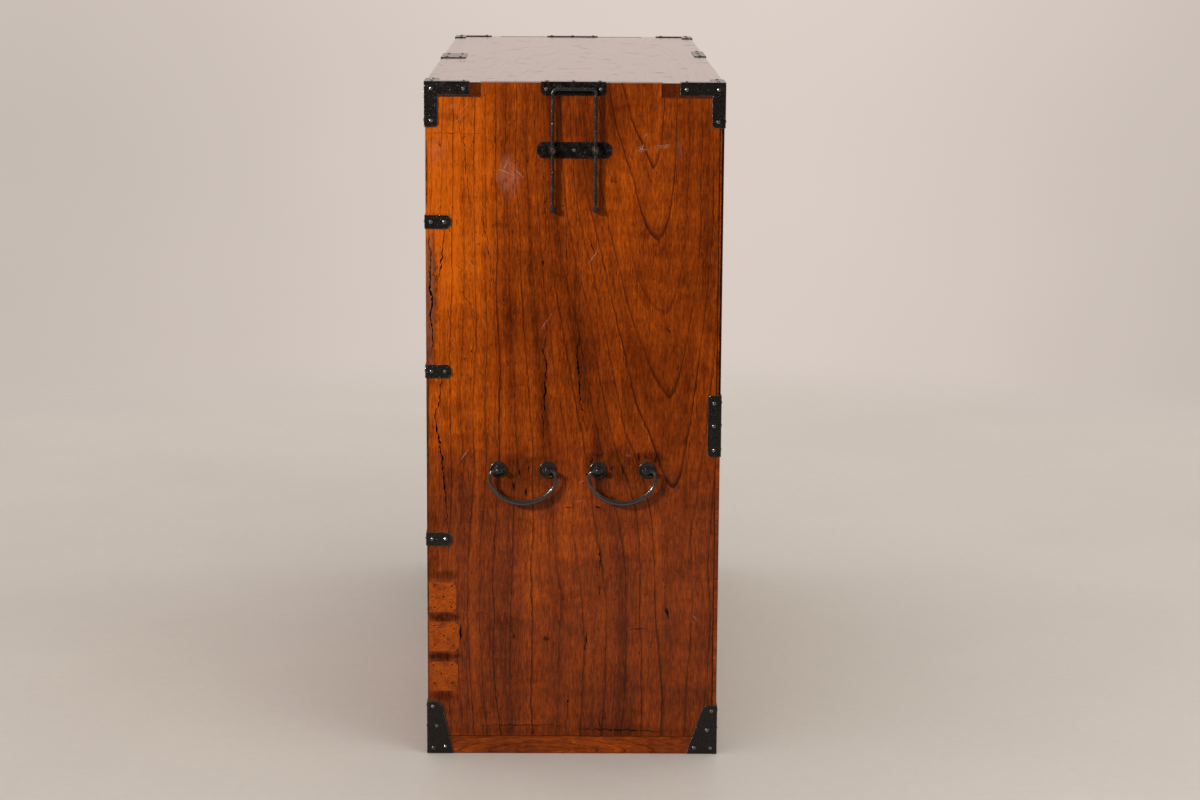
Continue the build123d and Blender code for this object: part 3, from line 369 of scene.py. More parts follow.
def board_figure():
    """Growth rings, fibre and pores of a sawn board: X across it, Y through it, Z along its grain."""
    def build(w, given):
        seed = w.vector(given["Seed"], w.math("MULTIPLY", given["Seed"], 0.37), given["Seed"])
        shifted = w.sum(given["Board"], seed)
        board = w.axes(given["Board"])
        pith = w.axes(given["Pith"])
        slow = w.centred(shifted, (5.5, 5.5, 1.7))
        sway = w.centred(shifted, (7.0, 7.0, 3.4), (3, 8, 5))
        quick = w.centred(shifted, (26, 26, 7), detail=3.0)
        drop = w.math("SMOOTH_MIN", w.math("SUBTRACT", pith["Z"], board["Z"]), 0.47, 0.22)
        across = w.math("SUBTRACT", board["X"], pith["X"])
        leaning = w.math("MULTIPLY", given["Lean"], w.ramp(across, -0.25, -0.02, -0.9, 1.0))
        across = w.math("SUBTRACT", across, w.math("MULTIPLY", drop, leaning))
        across = w.math("MULTIPLY_ADD", slow, given["Wander"], across)
        across = w.math("MULTIPLY_ADD", quick, w.math("MULTIPLY", given["Wander"], 0.20), across)
        jag = w.centred(shifted, (90, 90, 60), (7, 1, 2), detail=3.0, roughness=0.6)
        across = w.math("MULTIPLY_ADD", jag, 0.0042, across)
        depth = w.math("MULTIPLY_ADD", drop, given["Tilt"], pith["Y"])
        depth = w.math("MULTIPLY_ADD", sway, w.math("MULTIPLY", given["Wander"], 0.55), depth)
        flat = 1.6      # below 2, so that a ring is flatter than a circle
        reach = w.math("ADD", w.math("POWER", w.math("ABSOLUTE", across), flat),
                       w.math("POWER", w.math("ABSOLUTE", depth), flat))
        reach = w.math("POWER", reach, 1 / flat)
        phase = w.math("DIVIDE", reach, given["Ring Width"])
        part = w.math("FRACT", phase)
        ring = w.math("FLOOR", phase)
        chance = w.add("ShaderNodeTexWhiteNoise", {"W": w.math("ADD", ring, given["Seed"])},
                       noise_dimensions="1D").outputs["Value"]
        strength = w.math("MULTIPLY_ADD", chance, 0.50, 0.50)
        late = w.math("MULTIPLY", w.ramp(part, 0.84, 0.975), w.ramp(part, 0.978, 1.0, 1.0, 0.0))
        fine_part = w.math("FRACT", w.math("MULTIPLY_ADD", phase, 3.0, 0.37))
        fine = w.math("MULTIPLY", w.ramp(fine_part, 0.72, 0.95), w.ramp(fine_part, 0.95, 1.0, 0.20, 0.0))
        lines = w.math("MAXIMUM", w.math("MULTIPLY", late, strength), fine)
        gaps = w.noise(w.stretched(shifted, (40, 40, 12), (2, 4, 1)), 1.0, 3.0)
        broken = w.ramp(gaps, 0.30, 0.58, 0.55, 1.0)
        lines = w.math("MULTIPLY", lines, broken)
        tone = w.add("ShaderNodeTexNoise", {"W": w.math("MULTIPLY", phase, 0.55), "Scale": 1.0,
                                            "Detail": 2.0}, noise_dimensions="1D").outputs["Fac"]
        streaks = w.noise(w.stretched(shifted, (62, 62, 5)), 1.0, 4.0, 0.74)
        fibre = w.noise(w.stretched(shifted, (520, 520, 85)), 1.0, 4.0, 0.7)
        pores = w.ramp(w.noise(w.stretched(shifted, (1100, 1100, 75), (5, 5, 5)), 1.0, 1.0), 0.585, 0.70)
        flecks = w.ramp(w.noise(w.stretched(shifted, (420, 420, 90), (1, 9, 5)), 1.0, 3.0, 0.6), 0.60, 0.76)
        pores = w.math("MULTIPLY", pores, w.ramp(part, 0.0, 0.9, 1.0, 0.30))
        pores = w.math("MAXIMUM", pores, w.math("MULTIPLY", flecks, 0.6))
        relief = w.math("MULTIPLY_ADD", lines, -0.35, w.math("MULTIPLY", fibre, 0.22))
        relief = w.math("MULTIPLY_ADD", pores, -0.55, relief)
        return {"Lines": lines, "Tone": tone, "Streaks": streaks, "Fibre": fibre, "Pores": pores,
                "Relief": relief}

    return node_group("board_figure",
                      [("Board", "Vector"), ("Pith", "Vector"), ("Lean", "Float"), ("Tilt", "Float"),
                       ("Ring Width", "Float"), ("Wander", "Float"), ("Seed", "Float")],
                      [("Lines", "Float"), ("Tone", "Float"), ("Streaks", "Float"), ("Fibre", "Float"),
                       ("Pores", "Float"), ("Relief", "Float")], build)


def old_dirt():
    """Blotches, small specks and rubbed dull places of an old surface."""
    def build(w, given):
        place = w.sum(given["Place"], w.vector(given["Seed"], given["Seed"], 0.0))
        blotch = w.noise(place, 7.0, 5.0, 0.6)
        grime = w.ramp(w.noise(place, 26.0, 6.0, 0.68), 0.52, 0.74)
        specks = w.ramp(w.noise(w.stretched(place, (1, 1, 0.6)), 230.0, 3.0, 0.6), 0.635, 0.72)
        dots = w.add("ShaderNodeTexVoronoi", {"Vector": place, "Scale": 62.0,
                                              "Randomness": 1.0}).outputs["Distance"]
        few = w.ramp(w.noise(place, 33.0, 2.0), 0.50, 0.60)
        specks = w.math("MAXIMUM", specks, w.math("MULTIPLY", w.ramp(dots, 0.045, 0.085, 1.0, 0.0), few))
        rub = w.ramp(w.noise(w.stretched(place, (1, 1, 0.4)), 16.0, 5.0, 0.7), 0.45, 0.75)
        return {"Blotch": blotch, "Grime": grime, "Specks": specks, "Rub": rub}

    return node_group("old_dirt", [("Place", "Vector"), ("Seed", "Float")],
                      [("Blotch", "Float"), ("Grime", "Float"), ("Specks", "Float"), ("Rub", "Float")], build)


def soft_stain():
    """Mask of one soft patch with a ragged edge, a stain or painted shade: 1 in its middle and 0 outside."""
    def build(w, given):
        away = w.add("ShaderNodeVectorMath", {0: given["Place"], 1: given["Middle"]},
                     operation="SUBTRACT").outputs["Vector"]
        away = w.add("ShaderNodeVectorMath", {0: away, 1: given["Half Size"]},
                     operation="DIVIDE").outputs["Vector"]
        far = w.add("ShaderNodeVectorMath", {0: away}, operation="LENGTH").outputs["Value"]
        ragged = w.math("SUBTRACT", w.noise(given["Place"], 55.0, 5.0, 0.65), 0.5)
        far = w.math("MULTIPLY_ADD", ragged, 1.5, far)
        broken = w.ramp(w.noise(w.stretched(given["Place"], (1, 1, 0.35)), 240.0, 4.0, 0.65), 0.40, 0.60)
        broken = w.math("MULTIPLY_ADD", w.math("SUBTRACT", broken, 1.0), given["Broken"], 1.0)
        return {"Mask": w.math("MULTIPLY", w.ramp(far, 0.45, 1.15, 1.0, 0.0), broken)}

    return node_group("soft_stain", [("Place", "Vector"), ("Middle", "Vector"), ("Half Size", "Vector"),
                                     ("Broken", "Float")], [("Mask", "Float")], build)


def iron_skin():
    """Hammer marks, pits, rust and rubbed places of forged iron."""
    def build(w, given):
        place = w.sum(given["Place"], w.vector(given["Seed"], 0.0, given["Seed"]))
        hammer = w.noise(place, 130.0, 3.0, 0.55)
        grain = w.noise(place, 480.0, 5.0, 0.65)
        pits = w.add("ShaderNodeTexVoronoi", {"Vector": place, "Scale": 300.0},
                     feature="SMOOTH_F1").outputs["Distance"]
        pits = w.ramp(pits, 0.12, 0.40)
        rust = w.ramp(w.noise(place, 70.0, 6.0, 0.7), 0.53, 0.70)
        rub = w.ramp(w.noise(place, 150.0, 6.0, 0.75), 0.40, 0.72)
        relief = w.math("MULTIPLY_ADD", hammer, 0.9, w.math("MULTIPLY", grain, 0.40))
        relief = w.math("MULTIPLY_ADD", pits, 0.28, relief)
        return {"Rust": rust, "Rub": rub, "Grain": grain, "Relief": relief}

    return node_group("iron_skin", [("Place", "Vector"), ("Seed", "Float")],
                      [("Rust", "Float"), ("Rub", "Float"), ("Grain", "Float"), ("Relief", "Float")], build)


def new_material(name):
    """An empty material with its Principled shader and the piece's own coordinates."""
    material = bpy.data.materials.new(name)
    material.use_nodes = True
    material.node_tree.nodes.clear()
    wires = Wiring(material.node_tree)
    shader = wires.add("ShaderNodeBsdfPrincipled")
    output = wires.add("ShaderNodeOutputMaterial")
    wires.feed(output.inputs["Surface"], shader.outputs["BSDF"])
    place = wires.add("ShaderNodeTexCoord").outputs["Object"]
    return material, wires, shader, place


def stain(w, place, middle, half, broken):
    """Mask of a soft patch on a side board, a stain or painted shade: middle and half sizes are (along the
    depth, height) in mm.
    """
    return w.group(soft_stain(), {"Place": place, "Middle": (0.0, middle[0] * MM, middle[1] * MM),
                                  "Half Size": (100.0, half[0] * MM, half[1] * MM),
                                  "Broken": broken})["Mask"]


def stains(w, place, marks, broken=0.35):
    return [w.math("MULTIPLY", stain(w, place, middle, half, broken), strength)
            for middle, half, strength in marks]


def worn_edges(w):
    return w.add("ShaderNodeAttribute", attribute_name="worn").outputs["Fac"]


def lacquer(name, grain="Z", pith=(0.30, 0.05, 0.5), lean=0.0, tilt=0.03, ring=0.014, wander=0.05,
            seed=0.0, coat=0.35, grain_depth=1.0, shading=None, bare_behind=None):
    """Material of a lacquered board.

    grain is the axis that its fibres follow, with XY for a board that lies flat. shading adds the board's
    light, dark and pale places, on the right side painted light and shade among them, and behind bare_behind
    the wood has no lacquer.
    """
    if name in bpy.data.materials:
        return bpy.data.materials[name]
    look = setting("lacquer")
    material, w, shader, place = new_material(name)
    axes = w.axes(place)
    order = {"Z": ("Y", "X", "Z"), "X": ("Z", "Y", "X"), "Y": ("Z", "X", "Y"), "XY": ("Y", "Z", "X")}[grain]
    board = w.vector(*(axes[a] for a in order))
    figure = w.group(board_figure(), {"Board": board, "Pith": pith, "Lean": lean, "Tilt": tilt,
                                      "Ring Width": ring, "Wander": wander, "Seed": seed})
    dirt = w.group(old_dirt(), {"Place": place, "Seed": seed})

    light = w.math("ADD", w.math("MULTIPLY_ADD", figure["Tone"], 0.45, -0.225),
                   w.math("MULTIPLY_ADD", figure["Streaks"], 0.40, 0.295))
    light = w.math("MULTIPLY_ADD", w.math("SUBTRACT", dirt["Blotch"], 0.5), 0.55, light)
    light = w.math("MULTIPLY_ADD", w.math("SUBTRACT", figure["Fibre"], 0.5), 0.75, light)
    smudge = w.noise(w.stretched(board, (13, 13, 70)), 1.0, 4.0, 0.6)
    light = w.math("MULTIPLY_ADD", w.math("SUBTRACT", smudge, 0.5), 0.20, light)
    dark_masks = []
    pale_masks = []
    # shading can add painted light and shade to light, and painted shade among the dark masks
    if shading:
        light, dark_masks, pale_masks = shading(w, place, axes, light)
    base = w.blend(w.ramp(light, 0.22, 0.56), rgba(look.deep), rgba(look.amber))
    base = w.blend(w.ramp(light, 0.46, 0.90), base, rgba(look.bright))
    base = w.blend(w.math("MULTIPLY", figure["Lines"], 0.92), base, rgba(look.line))
    base = w.blend(w.math("MULTIPLY", figure["Pores"], 0.68), base, rgba(look.line))
    # grime holds real grime and the dark masks: stains, and on the right side also painted shade
    grime = w.math("MULTIPLY", dirt["Grime"], 0.40)
    for mask in dark_masks:
        grime = w.math("MAXIMUM", grime, mask)
    base = w.blend(grime, base, rgba(look.line))
    base = w.blend(w.math("MULTIPLY", dirt["Specks"], 0.75), base, rgba(look.grime))
    dull = w.math("MAXIMUM", w.math("MULTIPLY", dirt["Rub"], 0.35 * grain_depth),
                  w.math("MULTIPLY", figure["Lines"], 0.16 + 0.3 * grain_depth))
    for mask in pale_masks:
        base = w.blend(mask, base, rgba(look.scuffed))
        dull = w.math("MAXIMUM", dull, mask)
    edge = w.math("MULTIPLY", worn_edges(w), w.ramp(dirt["Blotch"], 0.35, 0.60))
    base = w.blend(w.math("MULTIPLY", edge, 0.55), base, rgba(look.line))
    if bare_behind is not None:
        plain = setting("bare_wood")
        raw = w.blend(figure["Streaks"], rgba(plain.dark), rgba(plain.light))
        raw = w.blend(w.math("MULTIPLY", figure["Lines"], 0.35), raw, rgba(plain.dark))
        raw = w.blend(w.math("MULTIPLY", worn_edges(w), 0.9), raw, rgba(Vector(plain.dark) * 0.2))
        behind = w.ramp(axes["Y"], bare_behind - 0.0005, bare_behind + 0.0005)
        inside = w.ramp(w.math("ABSOLUTE", axes["X"]), RIGHT_FACE - 0.0012, RIGHT_FACE - 0.0004, 1.0, 0.0)
        behind = w.math("MULTIPLY", behind, inside)
        base = w.blend(behind, base, raw)
        dull = w.math("MAXIMUM", dull, behind)
    w.feed(shader.inputs["Base Color"], base)
    w.feed(shader.inputs["Roughness"], w.ramp(w.math("ADD", dull, grime), 0.0, 1.2, 0.34, 0.62))
    w.feed(shader.inputs["Coat Weight"], w.ramp(w.math("ADD", dull, grime), 0.0, 0.9, coat, 0.02))
    shader.inputs["Coat Roughness"].default_value = look.gloss
    shader.inputs["IOR"].default_value = 1.5
    shader.inputs["Specular IOR Level"].default_value = 0.03
    bump = w.add("ShaderNodeBump", {"Height": figure["Relief"], "Strength": 0.55,
                                    "Distance": 0.0006 * grain_depth})
    wavy = w.add("ShaderNodeBump", {"Height": w.noise(w.stretched(place, (1, 1, 0.5)), 14.0, 3.0),
                                    "Strength": 0.25, "Distance": 0.004 * grain_depth,
                                    "Normal": bump.outputs["Normal"]})
    w.feed(shader.inputs["Normal"], wavy.outputs["Normal"])
    return material


def right_marks_and_painted_light(w, place, axes, light):
    """Light and dark of the right side: a painted pool of key light high in front, darker low down, partly as
    painted shade, painted shade round the pole loops, and stains by the iron.
    """
    # darker towards the bottom: partly the wood's own tone, partly painted shade
    high = w.ramp(axes["Z"], 0.05, 0.95, -0.075, 0.015)
    # painted light: a pool of key light painted high on the front half of the board
    front = w.math("MULTIPLY", w.ramp(axes["Y"], -0.205, -0.070, 0.31, 0.0), w.ramp(axes["Z"], 0.34, 0.74))
    # painted shade: darker in a band round the pole loops' column, high up
    from_middle = w.math("ABSOLUTE", w.math("ADD", axes["Y"], 0.03))
    middle = w.math("MULTIPLY", w.ramp(from_middle, 0.03, 0.09, -0.06, 0.0), w.ramp(axes["Z"], 0.42, 0.80))
    light = w.math("ADD", light, w.math("ADD", high, w.math("ADD", front, middle)))
    # the dark marks are stains and a dark seam, and inside the pole loops two patches of painted shade
    dark = stains(w, place, RIGHT_DARK)
    pale = stains(w, place, RIGHT_PALE, 0.9)
    seam = w.math("MULTIPLY", w.ramp(axes["Y"], 0.2072, 0.2086), w.ramp(axes["Z"], 0.36, 0.46, 0.85, 0.35))
    dark.append(w.math("MULTIPLY", seam, w.ramp(w.noise(place, 60.0, 3.0), 0.30, 0.55, 0.35, 1.0)))
    return light, dark, pale


def left_shading(w, place, axes, light):
    """Light and dark of the left side, stained round its handles and low down."""
    light = w.math("ADD", light, w.ramp(axes["Z"], 0.02, 0.98, -0.12, 0.08))
    return light, stains(w, place, LEFT_DARK), stains(w, place, LEFT_PALE, 0.9)


def back_strip(w, place, axes, light):
    """Ends of the back boards: black at the outer corner and the seam from half-way up, with specks."""
    end = w.ramp(w.math("ABSOLUTE", axes["X"]), RIGHT_FACE - 0.0030, RIGHT_FACE - 0.0015)
    black = w.ramp(w.math("MULTIPLY_ADD", w.noise(place, 40.0, 3.0), 0.06, axes["Z"]), 0.50, 0.58)
    stray = w.math("SUBTRACT", w.noise(w.stretched(place, (1, 1, 0.4)), 160.0, 3.0), 0.5)
    ragged = w.math("MULTIPLY_ADD", stray, 0.0030, axes["Y"])
    corner = w.ramp(ragged, BACK_FACE - 0.0038, BACK_FACE - 0.0030)
    seam = w.ramp(axes["Y"], BACK_FACE - 0.0056, BACK_FACE - 0.0050, 0.8, 0.0)
    specks = w.ramp(w.noise(w.stretched(place, (1, 1, 0.5)), 300.0, 3.0), 0.60, 0.68, 1.0, 0.0)
    black = w.math("MULTIPLY", w.math("MAXIMUM", corner, seam), black)
    black = w.math("MULTIPLY", w.math("MULTIPLY", end, black), w.math("MULTIPLY_ADD", specks, 0.35, 0.65))
    return light, [black], []


def bare_wood(name, seed=0.0, tone=1.0):
    """Material of an unfinished softwood board."""
    if name in bpy.data.materials:
        return bpy.data.materials[name]
    look = setting("bare_wood")
    material, w, shader, place = new_material(name)
    axes = w.axes(place)
    along_x = w.vector(axes["Z"], axes["Y"], axes["X"])
    along_y = w.vector(axes["Z"], axes["X"], axes["Y"])
    turned = w.add("ShaderNodeAttribute", attribute_name="faces_aside").outputs["Fac"]
    board = w.add("ShaderNodeMix", {0: turned, 4: along_x, 5: along_y}, data_type="VECTOR").outputs[1]
    figure = w.group(board_figure(), {"Board": board, "Pith": (0.42, 0.08, 0.2), "Lean": 0.0, "Tilt": 0.04,
                                      "Ring Width": 0.009, "Wander": 0.05, "Seed": seed})
    dirt = w.group(old_dirt(), {"Place": place, "Seed": seed + 3.0})
    light = w.math("MULTIPLY_ADD", figure["Streaks"], 0.7, w.math("MULTIPLY", dirt["Blotch"], 0.5))
    base = w.blend(w.ramp(light, 0.30, 0.85), rgba(Vector(look.dark) * tone), rgba(Vector(look.light) * tone))
    base = w.blend(w.math("MULTIPLY", figure["Lines"], 0.45), base, rgba(Vector(look.dark) * 0.8 * tone))
    base = w.blend(w.math("MULTIPLY", dirt["Grime"], 0.35), base, rgba(Vector(look.dark) * 0.55 * tone))
    base = w.blend(w.math("MULTIPLY", dirt["Specks"], 0.5), base, rgba(Vector(look.dark) * 0.3))
    base = w.blend(w.math("MULTIPLY", worn_edges(w), 0.6), base, rgba(Vector(look.dark) * 0.4))
    w.feed(shader.inputs["Base Color"], base)
    w.feed(shader.inputs["Roughness"], w.ramp(dirt["Rub"], 0.0, 1.0, 0.78, 0.62))
    bump = w.add("ShaderNodeBump", {"Height": figure["Relief"], "Strength": 0.7, "Distance": 0.0009})
    w.feed(shader.inputs["Normal"], bump.outputs["Normal"])
    return material


def forged_iron(name, seed=0.0, rust=0.35, shine=0.0, tone=1.0, raised=None, even=0.0):
    """Material of old black iron.

    shine is how bright hands have rubbed it, and even how evenly. What stands out beyond raised is browner.
    """
    if name in bpy.data.materials:
        return bpy.data.materials[name]
    look = setting("iron")
    material, w, shader, place = new_material(name)
    skin = w.group(iron_skin(), {"Place": place, "Seed": seed})
    black = Vector(look.black) * tone
    base = w.blend(w.ramp(skin["Grain"], 0.35, 0.75), rgba(black * 0.7), rgba(black * 1.7))
    rusty = w.math("MULTIPLY", skin["Rust"], rust)
    base = w.blend(rusty, base, rgba(look.rust))
    edge = w.math("MULTIPLY", worn_edges(w), w.math("MULTIPLY_ADD", skin["Rub"], 0.6, 0.25))
    bright = w.math("MAXIMUM", edge, w.math("MULTIPLY", w.ramp(skin["Rub"], 0.0, 1.0, even, 1.0), shine))
    axes = w.axes(place)
    if raised:
        proud = w.ramp(w.math("ABSOLUTE", axes["X"]), raised, raised + 0.001)
        base = w.blend(w.math("MULTIPLY", proud, 0.7), base, rgba(Vector(look.rust) * 2.2))
        bright = w.math("MAXIMUM", bright, w.math("MULTIPLY", proud, w.math("MULTIPLY", skin["Rub"], 0.35)))
    base = w.blend(bright, base, rgba(look.worn))
    w.feed(shader.inputs["Base Color"], base)
    metallic = w.math("MULTIPLY_ADD", bright, 0.28, w.math("MULTIPLY_ADD", rusty, -0.7, 0.72), clamp=True)
    w.feed(shader.inputs["Metallic"], metallic)
    rough = w.math("MULTIPLY_ADD", skin["Grain"], 0.22, 0.15 - 0.05 * even)
    w.feed(shader.inputs["Roughness"], w.math("MULTIPLY_ADD", rusty, 0.35, rough))
    shader.inputs["Specular IOR Level"].default_value = 0.15
    w.feed(shader.inputs["Coat Weight"], w.math("MULTIPLY_ADD", rusty, -0.4, 0.15 + 0.55 * even))
    shader.inputs["Coat Roughness"].default_value = 0.17 - 0.10 * even
    worn_flat = w.ramp(axes["Z"], TOP_FACE + 0.0004, TOP_FACE + 0.0010, 1.0, 0.12)
    bump = w.add("ShaderNodeBump", {"Height": skin["Relief"], "Distance": 0.0011 - 0.0008 * even,
                                    "Strength": worn_flat})
    w.feed(shader.inputs["Normal"], bump.outputs["Normal"])
    return material


def cut_surface(name, tint, roughness, depth):
    """Material inside a crack, hole or scratch."""
    if name in bpy.data.materials:
        return bpy.data.materials[name]
    material, w, shader, place = new_material(name)
    grain = w.noise(w.stretched(place, (1, 1, 0.15)), 900.0, 3.0)
    w.feed(shader.inputs["Base Color"], w.blend(grain, rgba(Vector(tint) * 0.55), rgba(Vector(tint) * 1.35)))
    w.feed(shader.inputs["Roughness"], w.ramp(grain, 0.2, 0.8, roughness - 0.08, roughness + 0.08))
    shader.inputs["Specular IOR Level"].default_value = 0.1
    bump = w.add("ShaderNodeBump", {"Height": grain, "Strength": 0.5, "Distance": depth})
    w.feed(shader.inputs["Normal"], bump.outputs["Normal"])
    return material


# ---- Shapes -------------------------------------------------------------------------------------------
def place_piece(name, mesh, node, material):
    """Links a finished mesh as the piece that stands for a CAD node."""
    if name in bpy.data.objects:
        bpy.data.objects.remove(bpy.data.objects[name])
    piece = bpy.data.objects.new(name, mesh)
    bpy.context.scene.collection.objects.link(piece)
    mesh.materials.append(material)
    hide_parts(node)
    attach(piece, BODY_OF[node])
    return piece


def closed(node):
    """A bmesh of a CAD node, with its faces joined at their edges."""
    bm = bmesh.new()
    bm.from_mesh(NODES[node].data)
    bmesh.ops.remove_doubles(bm, verts=bm.verts, dist=1e-6)
    return bm


def merged(node):
    """A closed bmesh of a CAD node, with its flat faces whole again."""
    bm = closed(node)
    bmesh.ops.dissolve_limit(bm, angle_limit=math.radians(0.5), verts=bm.verts, edges=bm.edges)
    return bm


def soften(bm, softness, segments=2):
    """Rounds a piece's sharp edges and marks the rounded faces as worn."""
    worn = bm.faces.layers.float.new("worn")
    sharp = [e for e in bm.edges if len(e.link_faces) == 2 and e.calc_face_angle() > math.radians(35)
             and e.calc_length() > 3 * softness]
    rounded = bmesh.ops.bevel(bm, geom=sharp, offset=softness, offset_type="OFFSET", segments=segments,
                              profile=0.5, affect="EDGES", material=-1, clamp_overlap=True)
    for face in rounded["faces"]:
        face[worn] = 1.0


def to_mesh(bm, name):
    mesh = bpy.data.meshes.new(name)
    bm.to_mesh(mesh)
    bm.free()
    return mesh


def part_planks(bm):
    """Parts planks, lying one above the other, that were merged where they meet, and closes each again."""
    shared = [e for e in bm.edges if len(e.link_faces) > 2]
    meeting = [f for f in bm.faces if abs(f.normal.z) > 0.9 and any(len(e.link_faces) > 2 for e in f.edges)]
    bmesh.ops.delete(bm, geom=meeting, context="FACES")
    bmesh.ops.split_edges(bm, edges=shared)
    bmesh.ops.holes_fill(bm, edges=[e for e in bm.edges if e.is_boundary], sides=0)
    bmesh.ops.recalc_face_normals(bm, faces=bm.faces)


def worn_board(node, material, softness, planks=False):
    """A board with its edges softly rounded. Faces that look along X are marked, for the grain to turn."""
    bm = merged(node)
    if planks:
        part_planks(bm)
    soften(bm, softness)
    aside = bm.faces.layers.float.new("faces_aside")
    for face in bm.faces:
        face[aside] = float(abs(face.normal.x) > 0.7)
    return place_piece(node + "_worn", to_mesh(bm, node + "_worn"), node, material)


def hand_cut(bm, wobble):
    """Lets the long edges of sheet-iron plates stray a little, in the plane of the sheet."""
    shortest = 12 * MM      # edges longer than this are cut
    between = 7 * MM        # distance between the cuts
    on_face = 0.1 * MM      # how near a point lies to a face that it belongs to
    floor_margin = 4 * MM   # below this height, nothing strays up or down
    long_edges = [e for e in bm.edges if e.calc_length() > shortest]
    for edge in long_edges:
        cuts = min(14, int(edge.calc_length() / between))
        bmesh.ops.subdivide_edges(bm, edges=[edge], cuts=cuts, use_grid_fill=False)
    noise.seed_set(5)       # without a seed, noise_vector is another one in each run
    for vertex in bm.verts:
        spot = vertex.co.copy()
        stray = noise.noise_vector(spot * 95.0) * wobble
        if abs(spot.x) > RIGHT_FACE - on_face:
            stray.x = 0.0
        if spot.z > TOP_FACE - on_face or spot.z < floor_margin:
            stray.z = 0.0
        if spot.y < FRONT_FACE + on_face or spot.y > BACK_FACE - on_face:
            stray.y = 0.0
        vertex.co += stray


def worn_plates(node, material):
    """Sheet-iron plates with hand-cut outlines and worn edges."""
    wear = setting("wear")
    bm = merged(node)
    hand_cut(bm, wear.plate_wobble)
    soften(bm, wear.plate_edge)
    return place_piece(node + "_worn", to_mesh(bm, node + "_worn"), node, material)


def bundles(bm):
    """The separate shells of a bmesh, as lists of vertices."""
    seen = set()
    shells = []
    for first in bm.verts:
        if first in seen:
            continue
        seen.add(first)
        shell = [first]
        for vertex in shell:
            for edge in vertex.link_edges:
                other = edge.other_vert(vertex)
                if other not in seen:
                    seen.add(other)
                    shell.append(other)
        shells.append(shell)
    return shells


def nail_spots(node):
    """Each nail of a node: the top of its head, the way it looks, its length and its head's radius."""
    bm = closed(node)
    spots = []
    for shell in bundles(bm):
        low = Vector(min(v.co[i] for v in shell) for i in range(3))
        high = Vector(max(v.co[i] for v in shell) for i in range(3))
        size = high - low
        axis = max(range(3), key=lambda i: size[i])
        middle = (low + high) / 2
        out = Vector((0.0, 0.0, 0.0))
        out[axis] = 1.0 if axis == 2 or middle[axis] > 0 else -1.0
        top = middle + out * size[axis] / 2
        spots.append((top, out, size[axis], max(size[i] for i in range(3) if i != axis) / 2))
    bm.free()
    return sorted(spots, key=lambda s: tuple(round(c, 5) for c in s[0]))


class NailMaker:
    """Makes many nails from one spun nail, each turned and dented in its own way."""

    def __init__(self, head_r, length, sides):
        bm = bmesh.new()
        points = [(r * head_r, z * NAIL_HEAD) for r, z in NAIL_DOME]
        points += [(NAIL_SHANK_R, -NAIL_HEAD), (NAIL_TIP_R, NAIL_TIP - length), (0.0, -length)]
        verts = [bm.verts.new((r, 0.0, z)) for r, z in points]
        edges = [bm.edges.new(pair) for pair in zip(verts, verts[1:])]
        bmesh.ops.spin(bm, geom=verts + edges, cent=(0, 0, 0), axis=(0, 0, 1), angle=2 * math.pi,
                       steps=sides, use_merge=True)
        bmesh.ops.remove_doubles(bm, verts=bm.verts, dist=1e-6)
        bmesh.ops.recalc_face_normals(bm, faces=bm.faces)
        for face in bm.faces:
            face.smooth = True
        self.mesh = to_mesh(bm, "one_nail")

    def add(self, bm, top, out, chance):
        known = len(bm.verts)
        bm.from_mesh(self.mesh)
        bm.verts.ensure_lookup_table()
        made = bm.verts[known:]
        size = 1.0 + chance.uniform(-0.10, 0.08)
        dent = Vector((chance.uniform(-9, 9), chance.uniform(-9, 9), 0.0))
        for vertex in made:
            if vertex.co.z > -NAIL_HEAD - 0.1 * MM:
                vertex.co.x *= size
                vertex.co.y *= size
                bump = noise.noise(vertex.co * 700.0 + dent)
                if vertex.co.z > -NAIL_HEAD + 0.1 * MM:
                    vertex.co.z += min(0.0, bump * 0.35 * MM - 0.1 * MM)
        turn = Matrix.Rotation(chance.uniform(0, 6.28), 4, "Z")
        aim = Matrix.Translation(top) @ out.to_track_quat("Z", "Y").to_matrix().to_4x4() @ turn
        bmesh.ops.transform(bm, matrix=aim, verts=made)


def worn_nails(node, material):
    """The case's nails, with domed hand-forged heads."""
    chance = random.Random(7)
    spots = nail_spots(node)
    _, _, length, head_r = spots[0]
    maker = NailMaker(head_r, length, setting("wear").nail_sides)
    bm = bmesh.new()
    for top, out, _, _ in spots:
        maker.add(bm, top, out, chance)
    bpy.data.meshes.remove(maker.mesh)
    return place_piece(node + "_forged", to_mesh(bm, node + "_forged"), node, material)


